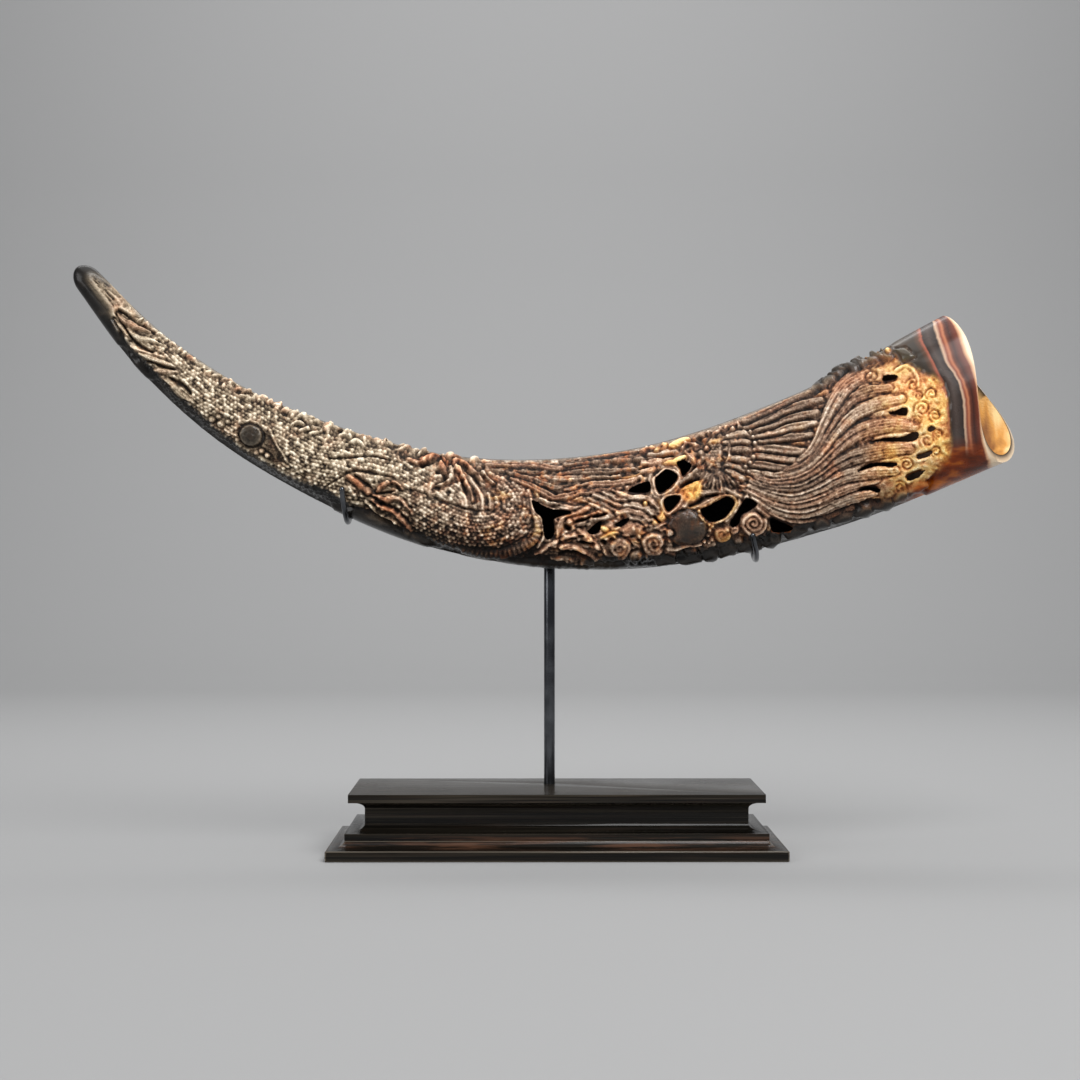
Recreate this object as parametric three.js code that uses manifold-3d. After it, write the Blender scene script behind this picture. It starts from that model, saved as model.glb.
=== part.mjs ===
// A carved, hollow buffalo horn lying in a black steel cradle on a moulded wooden base.
// Millimetres, +Z up. The carved side faces -Y, and the origin is the middle of the base's underside.
import * as THREE from "three";
import { mergeVertices } from "three/addons/utils/BufferGeometryUtils.js";
import Module from "manifold-3d";

const wasm = await Module();
wasm.setup();

// Horn: points on its middle line from the tip to the mouth, as [x, z]
const MIDDLE_LINE = [
  [-259, 315.5],
  [-213, 265],
  [-151, 222.5],
  [-57, 188],
  [42, 185],
  [139, 210.5],
  [230, 252],
];
const HORN_Y = -12;
const TIP_HEIGHT = 13;
const MOUTH_HEIGHT = 86;
const BELLY_SWELL = 7;
const TIP_DEPTH_RATIO = 0.76;
const MOUTH_DEPTH_RATIO = 0.62;
const TOP_NARROWING = 0.22;
const TIP_DOME = 9;
const HORN_RINGS = 56;
const HORN_SIDES = 32;

// Mouth: its rim is turned towards the carved side, more so low down
const RIM_TURN = 0.25;
const RIM_TWIST = 1.9;
const RIM_LEAN = 2;
const RIM_FADE_START = 0.8;

// Hollow: from this share of the horn's length to the mouth
const HOLLOW_START = 0.41;
const HOLLOW_DOME = 45;
const WALL_AT_START = 8;
const WALL_AT_MOUTH = 4;
const HOLLOW_RINGS = 24;
const HOLLOW_SIDES = 24;
const PAST_MOUTH = 40;

// Pierced windows in the front wall: middle x and z, length, width, and turn in degrees
const WINDOWS = [
  [-3, 184.5, 19, 5.5, -12],
  [-4.5, 176.5, 17, 6, 80],
  [20, 174, 10.5, 5, 40],
  [57.5, 199.5, 14.5, 10, 40],
  [67, 207, 8.5, 6.5, -20],
  [61, 188, 10.5, 8, 30],
  [84.5, 184.5, 19, 9.5, 28],
  [101.5, 186.5, 9, 6.5, 10],
  [181, 223, 21, 3.8, 12],
  [170.5, 207.5, 18, 3.4, 8],
];
const WINDOW_REACH = 60;
const WINDOW_SIDES = 12;

// Base boards, each from the floor up, with insets from the plinth's edge
const BASE_WIDTH = 243;
const BASE_DEPTH = 99;
const PLINTH_EDGE_TOP = 5.7;
const PLINTH_TOP = 10;
const STEP_INSET = 9.5;
const STEP_EDGE_TOP = 13.5;
const STEP_TOP = 17.6;
const NECK_INSET = 19.5;
const NECK_TOP = 25.7;
const TOP_INSET = 11.2;
const TOP_EDGE_BOTTOM = 29.5;
const BASE_TOP = 33.9;
const COVE_STEPS = 5;

// Steel: a post of 6 mm rod and two arms of 3 mm rod
const POST_RADIUS = 3;
const POST_X = -3.5;
const POST_Y = 13;
const POST_FOOT = 12;
const POST_HEAD = 172;
const POST_CHAMFER = 0.8;
const POST_SIDES = 24;
const ARM_RADIUS = 1.5;
const ARM_START_Z = 167;
const ARM_STEPS = 48;
const ARM_SIDES = 12;
const GAP = 0.3;
const ARM_TO_HORN = 2.3;
const HOOKS = {
  left: { side: -1, share: 0.3417, drop: 1, lastAngle: 248, lean: 0.1 },
  right: { side: 1, share: 0.7555, drop: 1.6, lastAngle: 226, lean: 0.3 },
};
const HOOK_FIRST_ANGLE = 124;
const HOOK_POINTS = 6;
const POST_SHARE = 0.548;
const RUN_PARTS = [0.25, 0.55, 0.85];
const RUN_ANGLE = 118;

const radians = THREE.MathUtils.degToRad;
const mix = THREE.MathUtils.lerp;

// Solids

function solid(geometry) {
  const bare = new THREE.BufferGeometry();
  bare.setAttribute("position", geometry.getAttribute("position"));
  bare.setIndex(geometry.getIndex());
  const merged = mergeVertices(bare, 1e-4);
  return new wasm.Manifold(
    new wasm.Mesh({
      numProp: 3,
      vertProperties: new Float32Array(merged.getAttribute("position").array),
      triVerts: new Uint32Array(merged.getIndex().array),
    }),
  );
}

function geometryOf(body) {
  const mesh = body.getMesh();
  const geometry = new THREE.BufferGeometry();
  geometry.setAttribute("position", new THREE.BufferAttribute(mesh.vertProperties, 3));
  geometry.setIndex(new THREE.BufferAttribute(mesh.triVerts, 1));
  return geometry;
}

// A closed skin over rings with equal numbers of points, with a fan over each end
function loft(rings) {
  const count = rings[0].length;
  const points = rings.flat();
  const middle = (ring) =>
    ring.reduce((sum, point) => sum.add(point), new THREE.Vector3()).divideScalar(count);
  points.push(middle(rings[0]), middle(rings.at(-1)));
  const startMiddle = points.length - 2;
  const endMiddle = points.length - 1;
  const lastRing = (rings.length - 1) * count;
  const triangles = [];
  for (let side = 0; side < count; side += 1) {
    const next = (side + 1) % count;
    triangles.push(startMiddle, side, next);
    triangles.push(endMiddle, lastRing + next, lastRing + side);
    for (let ring = 0; ring < lastRing; ring += count) {
      const above = ring + count;
      triangles.push(ring + side, above + side, above + next);
      triangles.push(ring + side, above + next, ring + next);
    }
  }
  const geometry = new THREE.BufferGeometry().setFromPoints(points);
  geometry.setIndex(triangles);
  return geometry;
}

// Horn

const middleLine = new THREE.CatmullRomCurve3(
  MIDDLE_LINE.map(([x, z]) => new THREE.Vector3(x, HORN_Y, z)),
  false,
  "catmullrom",
);
const hornLength = middleLine.getLength();

// Half height, half depth and place of the horn at a share of its length
function hornAt(share) {
  const height = mix(TIP_HEIGHT, MOUTH_HEIGHT, share) + BELLY_SWELL * Math.sin(Math.PI * share);
  const depthRatio = mix(TIP_DEPTH_RATIO, MOUTH_DEPTH_RATIO, share);
  return {
    middle: middleLine.getPointAt(share),
    along: middleLine.getTangentAt(share),
    halfHeight: height / 2,
    halfDepth: (height / 2) * depthRatio,
  };
}

// One ring of skin: angle 0 is the top edge, a quarter turn is the back
function hornRing(share, wall, dome, sides) {
  const { middle, along, halfHeight, halfDepth } = hornAt(share);
  const up = new THREE.Vector3(-along.z, 0, along.x);
  const fade = THREE.MathUtils.smoothstep(share, RIM_FADE_START, 1);
  return Array.from({ length: sides }, (_, index) => {
    const angle = (2 * Math.PI * index) / sides;
    const rise = Math.cos(angle);
    const y = (halfDepth - wall) * dome * Math.sin(angle) * (1 - TOP_NARROWING * rise);
    const turn = RIM_TURN * y * (1 - RIM_TWIST * rise) - RIM_LEAN * (1 - rise);
    return middle
      .clone()
      .addScaledVector(up, (halfHeight - wall) * dome * rise)
      .addScaledVector(along, fade * turn)
      .add(new THREE.Vector3(0, y, 0));
  });
}

// Round end: 0 at its very end, 1 where the full section is reached
function roundEnd(distance, reach) {
  const left = Math.max(0, 1 - distance / reach);
  return Math.sqrt(1 - left * left);
}

function hornSkin() {
  const domeShare = TIP_DOME / hornLength;
  const domeRings = [0.03, 0.15, 0.35, 0.65].map((part) => part * domeShare);
  const bodyRings = Array.from({ length: HORN_RINGS + 1 }, (_, ring) =>
    mix(domeShare, 1, ring / HORN_RINGS),
  );
  return loft(
    [...domeRings, ...bodyRings].map((share) =>
      hornRing(share, 0, roundEnd(share * hornLength, TIP_DOME), HORN_SIDES),
    ),
  );
}

function hollowSkin() {
  const rings = Array.from({ length: HOLLOW_RINGS + 1 }, (_, ring) => {
    const part = ((ring + 0.2) / (HOLLOW_RINGS + 0.2)) ** 1.5;
    const share = mix(HOLLOW_START, 1, part);
    const dome = roundEnd((share - HOLLOW_START) * hornLength, HOLLOW_DOME);
    return hornRing(share, mix(WALL_AT_START, WALL_AT_MOUTH, part), dome, HOLLOW_SIDES);
  });
  const outwards = hornAt(1).along.clone().multiplyScalar(PAST_MOUTH);
  rings.push(rings.at(-1).map((point) => point.clone().add(outwards)));
  return loft(rings);
}

function windowCutter([x, z, length, width, turn]) {
  const outline = new THREE.Shape().absellipse(0, 0, length / 2, width / 2, 0, 2 * Math.PI);
  return new THREE.ExtrudeGeometry(outline, {
    depth: WINDOW_REACH,
    bevelEnabled: false,
    curveSegments: WINDOW_SIDES / 2,
  })
    .rotateZ(radians(turn))
    .rotateX(Math.PI / 2)
    .translate(x, HORN_Y, z);
}

function makeHorn() {
  const cutters = [hollowSkin(), ...WINDOWS.map(windowCutter)];
  return geometryOf(cutters.reduce((body, cutter) => body.subtract(solid(cutter)), solid(hornSkin())));
}

// Base

// Hollow moulding from an upright inner edge to a level outer edge, as [inset, z] points
function cove([innerInset, innerZ], [outerInset, outerZ]) {
  return Array.from({ length: COVE_STEPS + 1 }, (_, step) => {
    const angle = (Math.PI / 2) * (step / COVE_STEPS);
    return [mix(outerInset, innerInset, Math.cos(angle)), mix(innerZ, outerZ, Math.sin(angle))];
  });
}

// A board with the same edge moulding all round, from its [inset, z] points upwards
function board(profile) {
  return loft(
    profile.map(([inset, z]) => {
      const x = BASE_WIDTH / 2 - inset;
      const y = BASE_DEPTH / 2 - inset;
      return [
        new THREE.Vector3(x, y, z),
        new THREE.Vector3(x, -y, z),
        new THREE.Vector3(-x, -y, z),
        new THREE.Vector3(-x, y, z),
      ];
    }),
  );
}

function rod(radius, bottom, top) {
  return new THREE.CylinderGeometry(radius, radius, top - bottom, POST_SIDES)
    .rotateX(Math.PI / 2)
    .translate(POST_X, POST_Y, (bottom + top) / 2);
}

function drilled(geometry) {
  const bore = rod(POST_RADIUS + GAP, POST_FOOT - GAP, BASE_TOP + 1);
  return geometryOf(solid(geometry).subtract(solid(bore)));
}

const plinthEdge = cove([STEP_INSET, PLINTH_TOP], [0, PLINTH_EDGE_TOP]).reverse();
const stepEdge = cove([NECK_INSET, STEP_TOP], [STEP_INSET, STEP_EDGE_TOP]).reverse();
const topEdge = cove([NECK_INSET, NECK_TOP], [TOP_INSET, TOP_EDGE_BOTTOM]);

// Steel

function makePost() {
  const outline = [
    new THREE.Vector2(0, POST_FOOT),
    new THREE.Vector2(POST_RADIUS, POST_FOOT),
    new THREE.Vector2(POST_RADIUS, POST_HEAD - POST_CHAMFER),
    new THREE.Vector2(POST_RADIUS - POST_CHAMFER, POST_HEAD),
    new THREE.Vector2(0, POST_HEAD),
  ];
  return new THREE.LatheGeometry(outline, POST_SIDES).rotateX(Math.PI / 2).translate(POST_X, POST_Y, 0);
}

// A point on an arm's line beside the horn, in the upright plane at a share of the horn's length
function besideHorn(share, degrees, drop) {
  const { middle, along, halfHeight, halfDepth } = hornAt(share);
  const angle = radians(degrees);
  const rise = Math.cos(angle);
  const y = (halfDepth + ARM_TO_HORN) * Math.sin(angle) * (1 - TOP_NARROWING * rise);
  const z = (halfHeight / along.x + ARM_TO_HORN + drop) * rise;
  return new THREE.Vector3(middle.x, middle.y + y, middle.z + z);
}

function armPath(hook) {
  const start = new THREE.Vector3(POST_X + hook.side * (POST_RADIUS + GAP), POST_Y, ARM_START_Z);
  const run = RUN_PARTS.map((part) => besideHorn(mix(POST_SHARE, hook.share, part), RUN_ANGLE, 0));
  const bottom = besideHorn(hook.share, 180, hook.drop);
  const bend = Array.from({ length: HOOK_POINTS }, (_, index) => {
    const degrees = mix(HOOK_FIRST_ANGLE, hook.lastAngle, index / (HOOK_POINTS - 1));
    const point = besideHorn(hook.share, degrees, hook.drop);
    if (degrees > 180) point.x -= hook.lean * (point.z - bottom.z);
    return point;
  });
  return new THREE.CatmullRomCurve3([start, ...run, ...bend]);
}

function makeArm(hook) {
  const path = armPath(hook);
  const section = new THREE.Shape().absarc(0, 0, ARM_RADIUS, 0, 2 * Math.PI);
  const bar = new THREE.ExtrudeGeometry(section, {
    steps: ARM_STEPS,
    curveSegments: ARM_SIDES / 2,
    extrudePath: path,
  });
  const end = path.getPoint(1);
  const tip = new THREE.SphereGeometry(ARM_RADIUS, ARM_SIDES, ARM_SIDES / 2).translate(end.x, end.y, end.z);
  return geometryOf(solid(bar).add(solid(tip)));
}

// Assembly

const stand = new THREE.Group();

function place(name, geometry) {
  const mesh = new THREE.Mesh(geometry);
  mesh.name = name;
  stand.add(mesh);
}

place("horn", makeHorn());
place("base_plinth", board([[0, 0], ...plinthEdge]));
place("base_step", drilled(board([[STEP_INSET, PLINTH_TOP], ...stepEdge])));
place("base_neck", drilled(board([[NECK_INSET, STEP_TOP], [NECK_INSET, NECK_TOP]])));
place("base_top", drilled(board([...topEdge, [TOP_INSET, BASE_TOP]])));
place("post", makePost());
place("arm_left", makeArm(HOOKS.left));
place("arm_right", makeArm(HOOKS.right));

export default stand;
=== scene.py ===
import math

import bpy
import numpy as np
from mathutils import Matrix, Vector


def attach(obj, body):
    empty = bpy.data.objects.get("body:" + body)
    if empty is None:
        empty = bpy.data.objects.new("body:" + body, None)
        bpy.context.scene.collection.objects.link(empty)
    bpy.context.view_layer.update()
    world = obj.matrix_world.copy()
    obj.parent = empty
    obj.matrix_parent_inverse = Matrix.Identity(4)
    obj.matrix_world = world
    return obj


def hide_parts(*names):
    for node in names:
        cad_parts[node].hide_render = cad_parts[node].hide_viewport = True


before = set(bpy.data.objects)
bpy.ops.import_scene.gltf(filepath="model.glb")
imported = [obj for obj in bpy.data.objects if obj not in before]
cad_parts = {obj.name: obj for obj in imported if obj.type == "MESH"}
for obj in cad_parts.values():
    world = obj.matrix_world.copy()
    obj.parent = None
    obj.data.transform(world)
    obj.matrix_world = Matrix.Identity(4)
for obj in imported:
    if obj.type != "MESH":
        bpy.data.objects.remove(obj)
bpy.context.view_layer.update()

bl_info = {
    "name": "Carved Horn on a Stand",
    "version": (1, 0, 0),
    "blender": (4, 5, 0),
    "location": "View3D > Sidebar > Carved Horn",
    "description": "Builds a carved hollow horn, its steel cradle and its moulded wooden base",
    "category": "Add Mesh",
}

MM = 0.001

# Horn, in millimetres: points (x, z) on its middle line from the tip to the mouth
MIDDLE_LINE = [(-259, 315.5), (-213, 265), (-151, 222.5), (-57, 188), (42, 185), (139, 210.5), (230, 252)]
HORN_Y = -12.0
TIP_HEIGHT = 13.0
MOUTH_HEIGHT = 86.0
BELLY_SWELL = 7.0
TIP_DEPTH_RATIO = 0.76
MOUTH_DEPTH_RATIO = 0.62
TOP_NARROWING = 0.22
TIP_DOME = 9.0
RIM_TURN = 0.25
RIM_TWIST = 1.9
RIM_LEAN = 2.0
RIM_CORNER = 4.0
RIM_FADE_START = 0.8
HOLLOW_START = 0.41
HOLLOW_DOME = 45.0
WALL_AT_START = 8.0
WALL_AT_MOUTH = 4.0
PAST_MOUTH = 40.0

# Fineness of the horn's skin before thinning, and the triangles left in it
HORN_ROWS = 1050
FRONT_COLUMNS = 280
BACK_COLUMNS = 44
HOLLOW_ROWS = 90
HOLLOW_COLUMNS = 96
TIP_ROWS = 14
HOLLOW_CROWDING = 1.5
SKIN_TRIANGLES = 176000
HORN_SMOOTH_ANGLE = math.radians(70)
# Angles round the horn of its fine front and plain back: 0 is the top edge, a quarter turn is the back
FRONT_START, FRONT_END = math.radians(172), math.radians(368)
BACK_END = math.radians(532)

# Where the carving fades out as the skin turns from the eye, and where it is laid round the upper edge
CARVED_TURN = (-0.32, 0.02)
EDGE_TURN = (0.3, 0.5)
# Where along the horn, in x, the amber begins and its relief is lightened
AMBER_PLACES = (158, 190)
LIGHT_PLACES = (172, 190)
AMBER_LIGHT = 0.12
# Distance from the mouth that the walls of the windows are coloured for
FAR_FROM_MOUTH = 200.0

# Camera, in millimetres and pixels of a 1080 square picture
EYE = np.array((-14.25, -1120.0, 165.7))
PICTURE_SIZE = 1080
FOCAL_PIXELS = 2050
SENSOR_WIDTH = 36.0
YAW = math.radians(-0.28)
PITCH = math.radians(90.14)

# Base boards, in millimetres: heights from the floor and insets from the plinth's edge
BASE_WIDTH = 243.0
BASE_DEPTH = 99.0
PLINTH_EDGE_TOP = 5.7
PLINTH_TOP = 10.0
STEP_INSET = 9.5
STEP_EDGE_TOP = 13.5
STEP_TOP = 17.6
NECK_INSET = 19.5
NECK_TOP = 25.7
TOP_INSET = 11.2
TOP_EDGE_BOTTOM = 29.5
BASE_TOP = 33.9
COVE_STEPS = 9
BEVEL_STEPS = 3
BEVEL_ANGLE = math.radians(35)
BOARD_SMOOTH_ANGLE = math.radians(30)

# Steel, in millimetres
POST_RADIUS = 3.0
POST_X = -3.5
POST_Y = 13.0
POST_FOOT = 12.0
POST_HEAD = 172.0
POST_EDGE = 0.6
POST_SIDES = 64
HOLE_SIDES = 48
POST_SMOOTH_ANGLE = math.radians(35)
ARM_RADIUS = 1.5
ARM_FINENESS = 6
ARM_SMOOTH_ANGLE = math.radians(40)
ARM_START_Z = 167.0
ARM_TO_HORN = 2.3
GAP = 0.3
HOOKS = {
    "arm_left": {"side": -1, "share": 0.3417, "drop": 1.0, "last_angle": 248, "lean": 0.1},
    "arm_right": {"side": 1, "share": 0.7555, "drop": 1.6, "last_angle": 226, "lean": 0.3},
}
HOOK_FIRST_ANGLE = 124
HOOK_POINTS = 6
POST_SHARE = 0.548
RUN_PARTS = (0.25, 0.55, 0.85)
RUN_ANGLE = 118

# Stage, in metres: lights are given by their place and size
FLOOR_WIDTH = 9.0
FLOOR_LENGTH = 4.0
FLOOR_Y = -0.8
SWEEP_STEPS = 8
SWEEP_STEP = 0.14
BACKDROP_HEIGHT = 3.0
KEY_LIGHT = ((0.5, -0.95, 1.35), 1.0)
FILL_LIGHT = ((-1.3, -0.9, 0.75), 1.0)
TOP_LIGHT = ((-0.1, 0.25, 1.5), 1.6)
BACKDROP_LIGHT = ((0.0, 0.7, 1.5), 1.5)
TOP_SHARE = 1.3
BACKDROP_SHARE = 2.6
BACKDROP_TARGET = (0, 2.2, 0.3)
SKY = (0.9, 0.93, 1.0, 1.0)
SKY_STRENGTH = 0.2


def paint(red, green, blue):
    """A colour given as 0 to 255, as the linear values that a shader takes."""
    def linear(value):
        value = value / 255
        return value / 12.92 if value <= 0.04045 else ((value + 0.055) / 1.055) ** 2.4
    return (linear(red), linear(green), linear(blue), 1.0)


def mix(start, end, share):
    return start + (end - start) * share


# The carving, drawn square on in millimetres: (x, z) on the upright plane through the horn's axis
SHEET_LEFT, SHEET_RIGHT = -268.0, 258.0
SHEET_BOTTOM, SHEET_TOP = 146.0, 324.0
SHEET_STEP = 0.3
MARGIN = 1.5
CHISEL_SEED = 7
SHADE_SEED = 11
FILLER_SEED = 3
FILLER_COUNT = 520

# Heights of the carving from the horn's skin
GROUND = -3.0
RAISED = -0.3
SCALE_EDGE = -3.2
# How much lower than their own foot the cuts round raised things go, and the depths of lines cut in them
STRAND_CUT = 0.5
RIB_CUT = 0.8
KNOB_CUT = 0.7
SPLIT_DEPTH = -2.2
SPLIT_WIDTHS = (0.3, 0.55, 0.55, 0.3)
SPIRAL_DEPTH = -2.3
SPIRAL_WIDTHS = (0.5, 0.75, 0.5)

# Chisel marks: how many cells wide they are, and how strong
WANDER = (7, 9.0)
GRIT = (1, 4.2)
NICKS = (2, 7.3)

# Unevenness of strands and shape of scales
UNREST = 1.8
WIDTH_UNREST = 0.14
HEIGHT_UNREST = 0.22
STRAKE_UNREST = 0.3
STRAKE_DEPTH = 1.1
STRAKE_SHARPNESS = 1.5
SCALE_LENGTH = 1.08
SCALE_SQUARENESS = 2.6
SCALE_TILT = 0.6
SCALE_UNEVENNESS = 0.8

# Lightness of what is carved, and what is left of a tint where something is carved over it
STRAND_SHADES = (-0.16, 0.1)
KNOB_SHADES = (-0.2, 0.0)
NICK_SHADE = 0.13
SCALE_SHADE = 0.36
RIB_SHADE = -0.16
CURL_SHADE = -0.06
CURL_TINT = 0.55
TINT_LEFT = 0.15
TINTED_PART = 0.95
LEAST_HALF = 0.05


def run_on(points):
    """Points with one more at each end, straight on from the last two there."""
    return np.vstack([2 * points[0] - points[1], points, 2 * points[-1] - points[-2]])


def eased(start, end, leaving, arriving, t):
    """Places from start to end, with the rates of leaving and arriving given."""
    cubic = 2 * start - 2 * end + leaving + arriving
    square = 3 * end - 3 * start - 2 * leaving - arriving
    return cubic * t ** 3 + square * t ** 2 + leaving * t + start


def smooth_curve(points, spacing=1.0, closed=False):
    """Sample a smooth curve through given points."""
    points = np.array(points, float)
    if len(points) == 2:
        points = np.array([points[0], (points[0] + points[1]) / 2, points[1]])
    padded = np.vstack([points[-1:], points, points[:2]]) if closed else run_on(points)
    stretches = []
    for before, start, end, after in zip(padded, padded[1:], padded[2:], padded[3:]):
        count = max(2, int(np.hypot(*(end - start)) / spacing))
        t = np.linspace(0, 1, count, endpoint=False)[:, None]
        stretches.append(eased(start, end, (end - before) / 2, (after - start) / 2, t))
    return np.vstack(stretches if closed else stretches + [points[-1:]])


def smoothstep(value, low, high):
    t = np.clip((value - low) / (high - low), 0, 1)
    return t * t * (3 - 2 * t)


def blurred(field, cells):
    """Average a field over a few cells each way, twice."""
    for axis in (0, 1, 0, 1):
        total = field.copy()
        for shift in range(1, cells + 1):
            total += np.roll(field, shift, axis) + np.roll(field, -shift, axis)
        field = total / (2 * cells + 1)
    return field


def softened(mask, cells):
    """A mask with its edge faded over a few cells."""
    return blurred(mask.astype(float), cells)


def chisel_marks(random, shape, cells, strength):
    """Random marks of one width all over."""
    return blurred(random.normal(size=shape), cells) * strength


def scattered(row, place):
    """A value from 0 to 1 for each numbered row and place, without any order."""
    value = np.sin(row * 12.99 + place * 78.23) * 43758.55
    return value - np.floor(value)


def spiral_points(x, z, inner, outer, turns, count, start, turn=1):
    """Points out along a spiral round a place, from an angle in degrees."""
    angle = np.linspace(0, 2 * np.pi * turns, count)
    reach = inner + (outer - inner) * angle / angle[-1]
    place = np.radians(start) + turn * angle
    return np.stack([x + reach * np.cos(place), z + reach * np.sin(place)], 1)


class Sheet:
    """The carved side drawn flat: how deep it is cut, and how it is tinted."""

    def __init__(self):
        self.x = np.arange(SHEET_LEFT, SHEET_RIGHT, SHEET_STEP)
        self.z = np.arange(SHEET_BOTTOM, SHEET_TOP, SHEET_STEP)
        shape = (len(self.z), len(self.x))
        self.height = np.zeros(shape)
        self.tints = {name: np.zeros(shape) for name in ("rust", "gold", "black")}
        random = np.random.default_rng(CHISEL_SEED)
        self.wander = [chisel_marks(random, shape, *WANDER) for _ in range(2)]
        self.grit = chisel_marks(random, shape, *GRIT)
        self.nicks = chisel_marks(random, shape, *NICKS)
        self.shade = np.zeros(shape)
        self.rough = np.zeros(shape)
        self.tone = np.zeros(shape)
        self.dice = np.random.default_rng(SHADE_SEED)

    def cells(self, points, reach):
        """The cells within a reach of points, and their places."""
        low, high = np.min(points, 0) - reach, np.max(points, 0) + reach
        columns = slice(*np.searchsorted(self.x, (low[0], high[0])))
        rows = slice(*np.searchsorted(self.z, (low[1], high[1])))
        across, up = np.meshgrid(self.x[columns], self.z[rows])
        return (rows, columns), across, up

    def round_cells(self, x, z, reach):
        """The cells round a place, and how far from it they are."""
        area, across, up = self.cells(np.array([[x, z]]), reach)
        return area, np.hypot(across - x, up - z)

    def beside(self, points, reach, waver=0.0):
        """The cells near a curve, with their distance from it, side of it and length run along it.

        The curve's whole length comes last.
        """
        curve = smooth_curve(points)
        area, across, up = self.cells(curve, reach)
        across = across + waver * self.wander[1][area]
        up = up + waver * self.wander[0][area]
        nearest = np.full(across.shape, np.inf)
        side = np.zeros_like(across)
        run = np.zeros_like(across)
        passed = 0.0
        for start, end in zip(curve, curve[1:]):
            step_x, step_z = end - start
            length = np.hypot(step_x, step_z)
            from_x, from_z = across - start[0], up - start[1]
            t = np.clip((from_x * step_x + from_z * step_z) / length ** 2, 0, 1)
            away = (from_x - t * step_x) ** 2 + (from_z - t * step_z) ** 2
            closer = away < nearest
            nearest[closer] = away[closer]
            side[closer] = np.sign(step_x * from_z - step_z * from_x)[closer]
            run[closer] = (passed + t * length)[closer]
            passed += length
        return area, np.sqrt(nearest), side, run, passed

    def along(self, points, widths, reach, waver=0.0):
        """The cells near a curve, as beside gives them, with the half width set along the curve."""
        area, away, side, run, length = self.beside(points, reach, waver)
        half = np.interp(run / length, np.linspace(0, 1, len(widths)), widths)
        return area, away, side, run, half

    def sample(self, layer, across, up):
        """Values of a layer at places on the sheet, read between its cells."""
        column = np.clip((across - SHEET_LEFT) / SHEET_STEP, 0, len(self.x) - 1.001)
        row = np.clip((up - SHEET_BOTTOM) / SHEET_STEP, 0, len(self.z) - 1.001)
        left, low = column.astype(int), row.astype(int)
        right_share, up_share = column - left, row - low
        bottom = mix(layer[low, left], layer[low, left + 1], right_share)
        top = mix(layer[low + 1, left], layer[low + 1, left + 1], right_share)
        return mix(bottom, top, up_share)

    def tint(self, area, mask, name, amount=1.0):
        if name:
            layer = self.tints[name][area]
            layer[:] = np.where(mask, amount, layer)

    def glow(self, x, z, radius, name, amount):
        """A round tint that fades outwards."""
        area, away = self.round_cells(x, z, radius)
        layer = self.tints[name][area]
        layer[:] = np.maximum(layer, amount * (1 - smoothstep(away / radius, 0.3, 1)))

    def swell(self, x, z, radius, rise):
        """Lift a round area gently, with whatever is carved on it."""
        area, away = self.round_cells(x, z, radius)
        self.height[area] += rise * (1 - smoothstep(away / radius, 0, 1))

    def strand(self, points, widths, top=RAISED, low=-2.0, outline=0.4, square=2, strakes=0.0, waver=0.55,
               rough=0.0, shade=0.0, tint=None, amount=1.0):
        """A raised strand, rounded across, with a groove cut round it and fine lines along it."""
        widths = np.atleast_1d(widths)
        area, away, side, _, half = self.along(points, widths, widths.max() * 1.3 + outline + MARGIN, waver)
        unrest = waver * UNREST
        half = half * (1 + WIDTH_UNREST * unrest * self.wander[0][area])
        part = away / np.maximum(half, LEAST_HALF)
        height = self.height[area]
        rim = (part >= 1) & (away < half + outline)
        height[rim] = np.minimum(height[rim], low - STRAND_CUT)
        raised = low + (top - low) * np.sqrt(np.clip(1 - part ** square, 0, 1))
        raised += HEIGHT_UNREST * unrest * self.wander[1][area]
        if strakes:
            lines = away * side + strakes / 4 + STRAKE_UNREST * unrest * self.wander[0][area]
            raised -= STRAKE_DEPTH * (0.5 - 0.5 * np.cos(2 * np.pi * lines / strakes)) ** STRAKE_SHARPNESS
        inside = part < 1
        height[inside] = raised[inside]
        own_shade = shade + self.dice.uniform(*STRAND_SHADES)
        self.shade[area][inside] = own_shade + NICK_SHADE * rough * self.nicks[area][inside]
        self.rough[area][inside] = rough
        for layer in self.tints.values():
            layer[area][inside] *= TINT_LEFT
        self.tint(area, part < TINTED_PART, tint, amount)

    def groove(self, points, widths, depth=-3.6, waver=0.0):
        """A dark cut, wedge-shaped across."""
        widths = np.atleast_1d(widths)
        area, away, _, _, half = self.along(points, widths, widths.max() + MARGIN, waver)
        part = np.clip(away / np.maximum(half, LEAST_HALF), 0, 1)
        height = self.height[area]
        cut = depth * (1 - part ** 3)
        height[part < 1] = np.minimum(height, cut)[part < 1]

    def split(self, points, share, waver):
        """A line cut along the middle of a strand, over the first share of its length."""
        curve = smooth_curve(points, 2.0)
        self.groove(curve[:max(3, int(share * len(curve)))], SPLIT_WIDTHS, SPLIT_DEPTH, waver)

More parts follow.
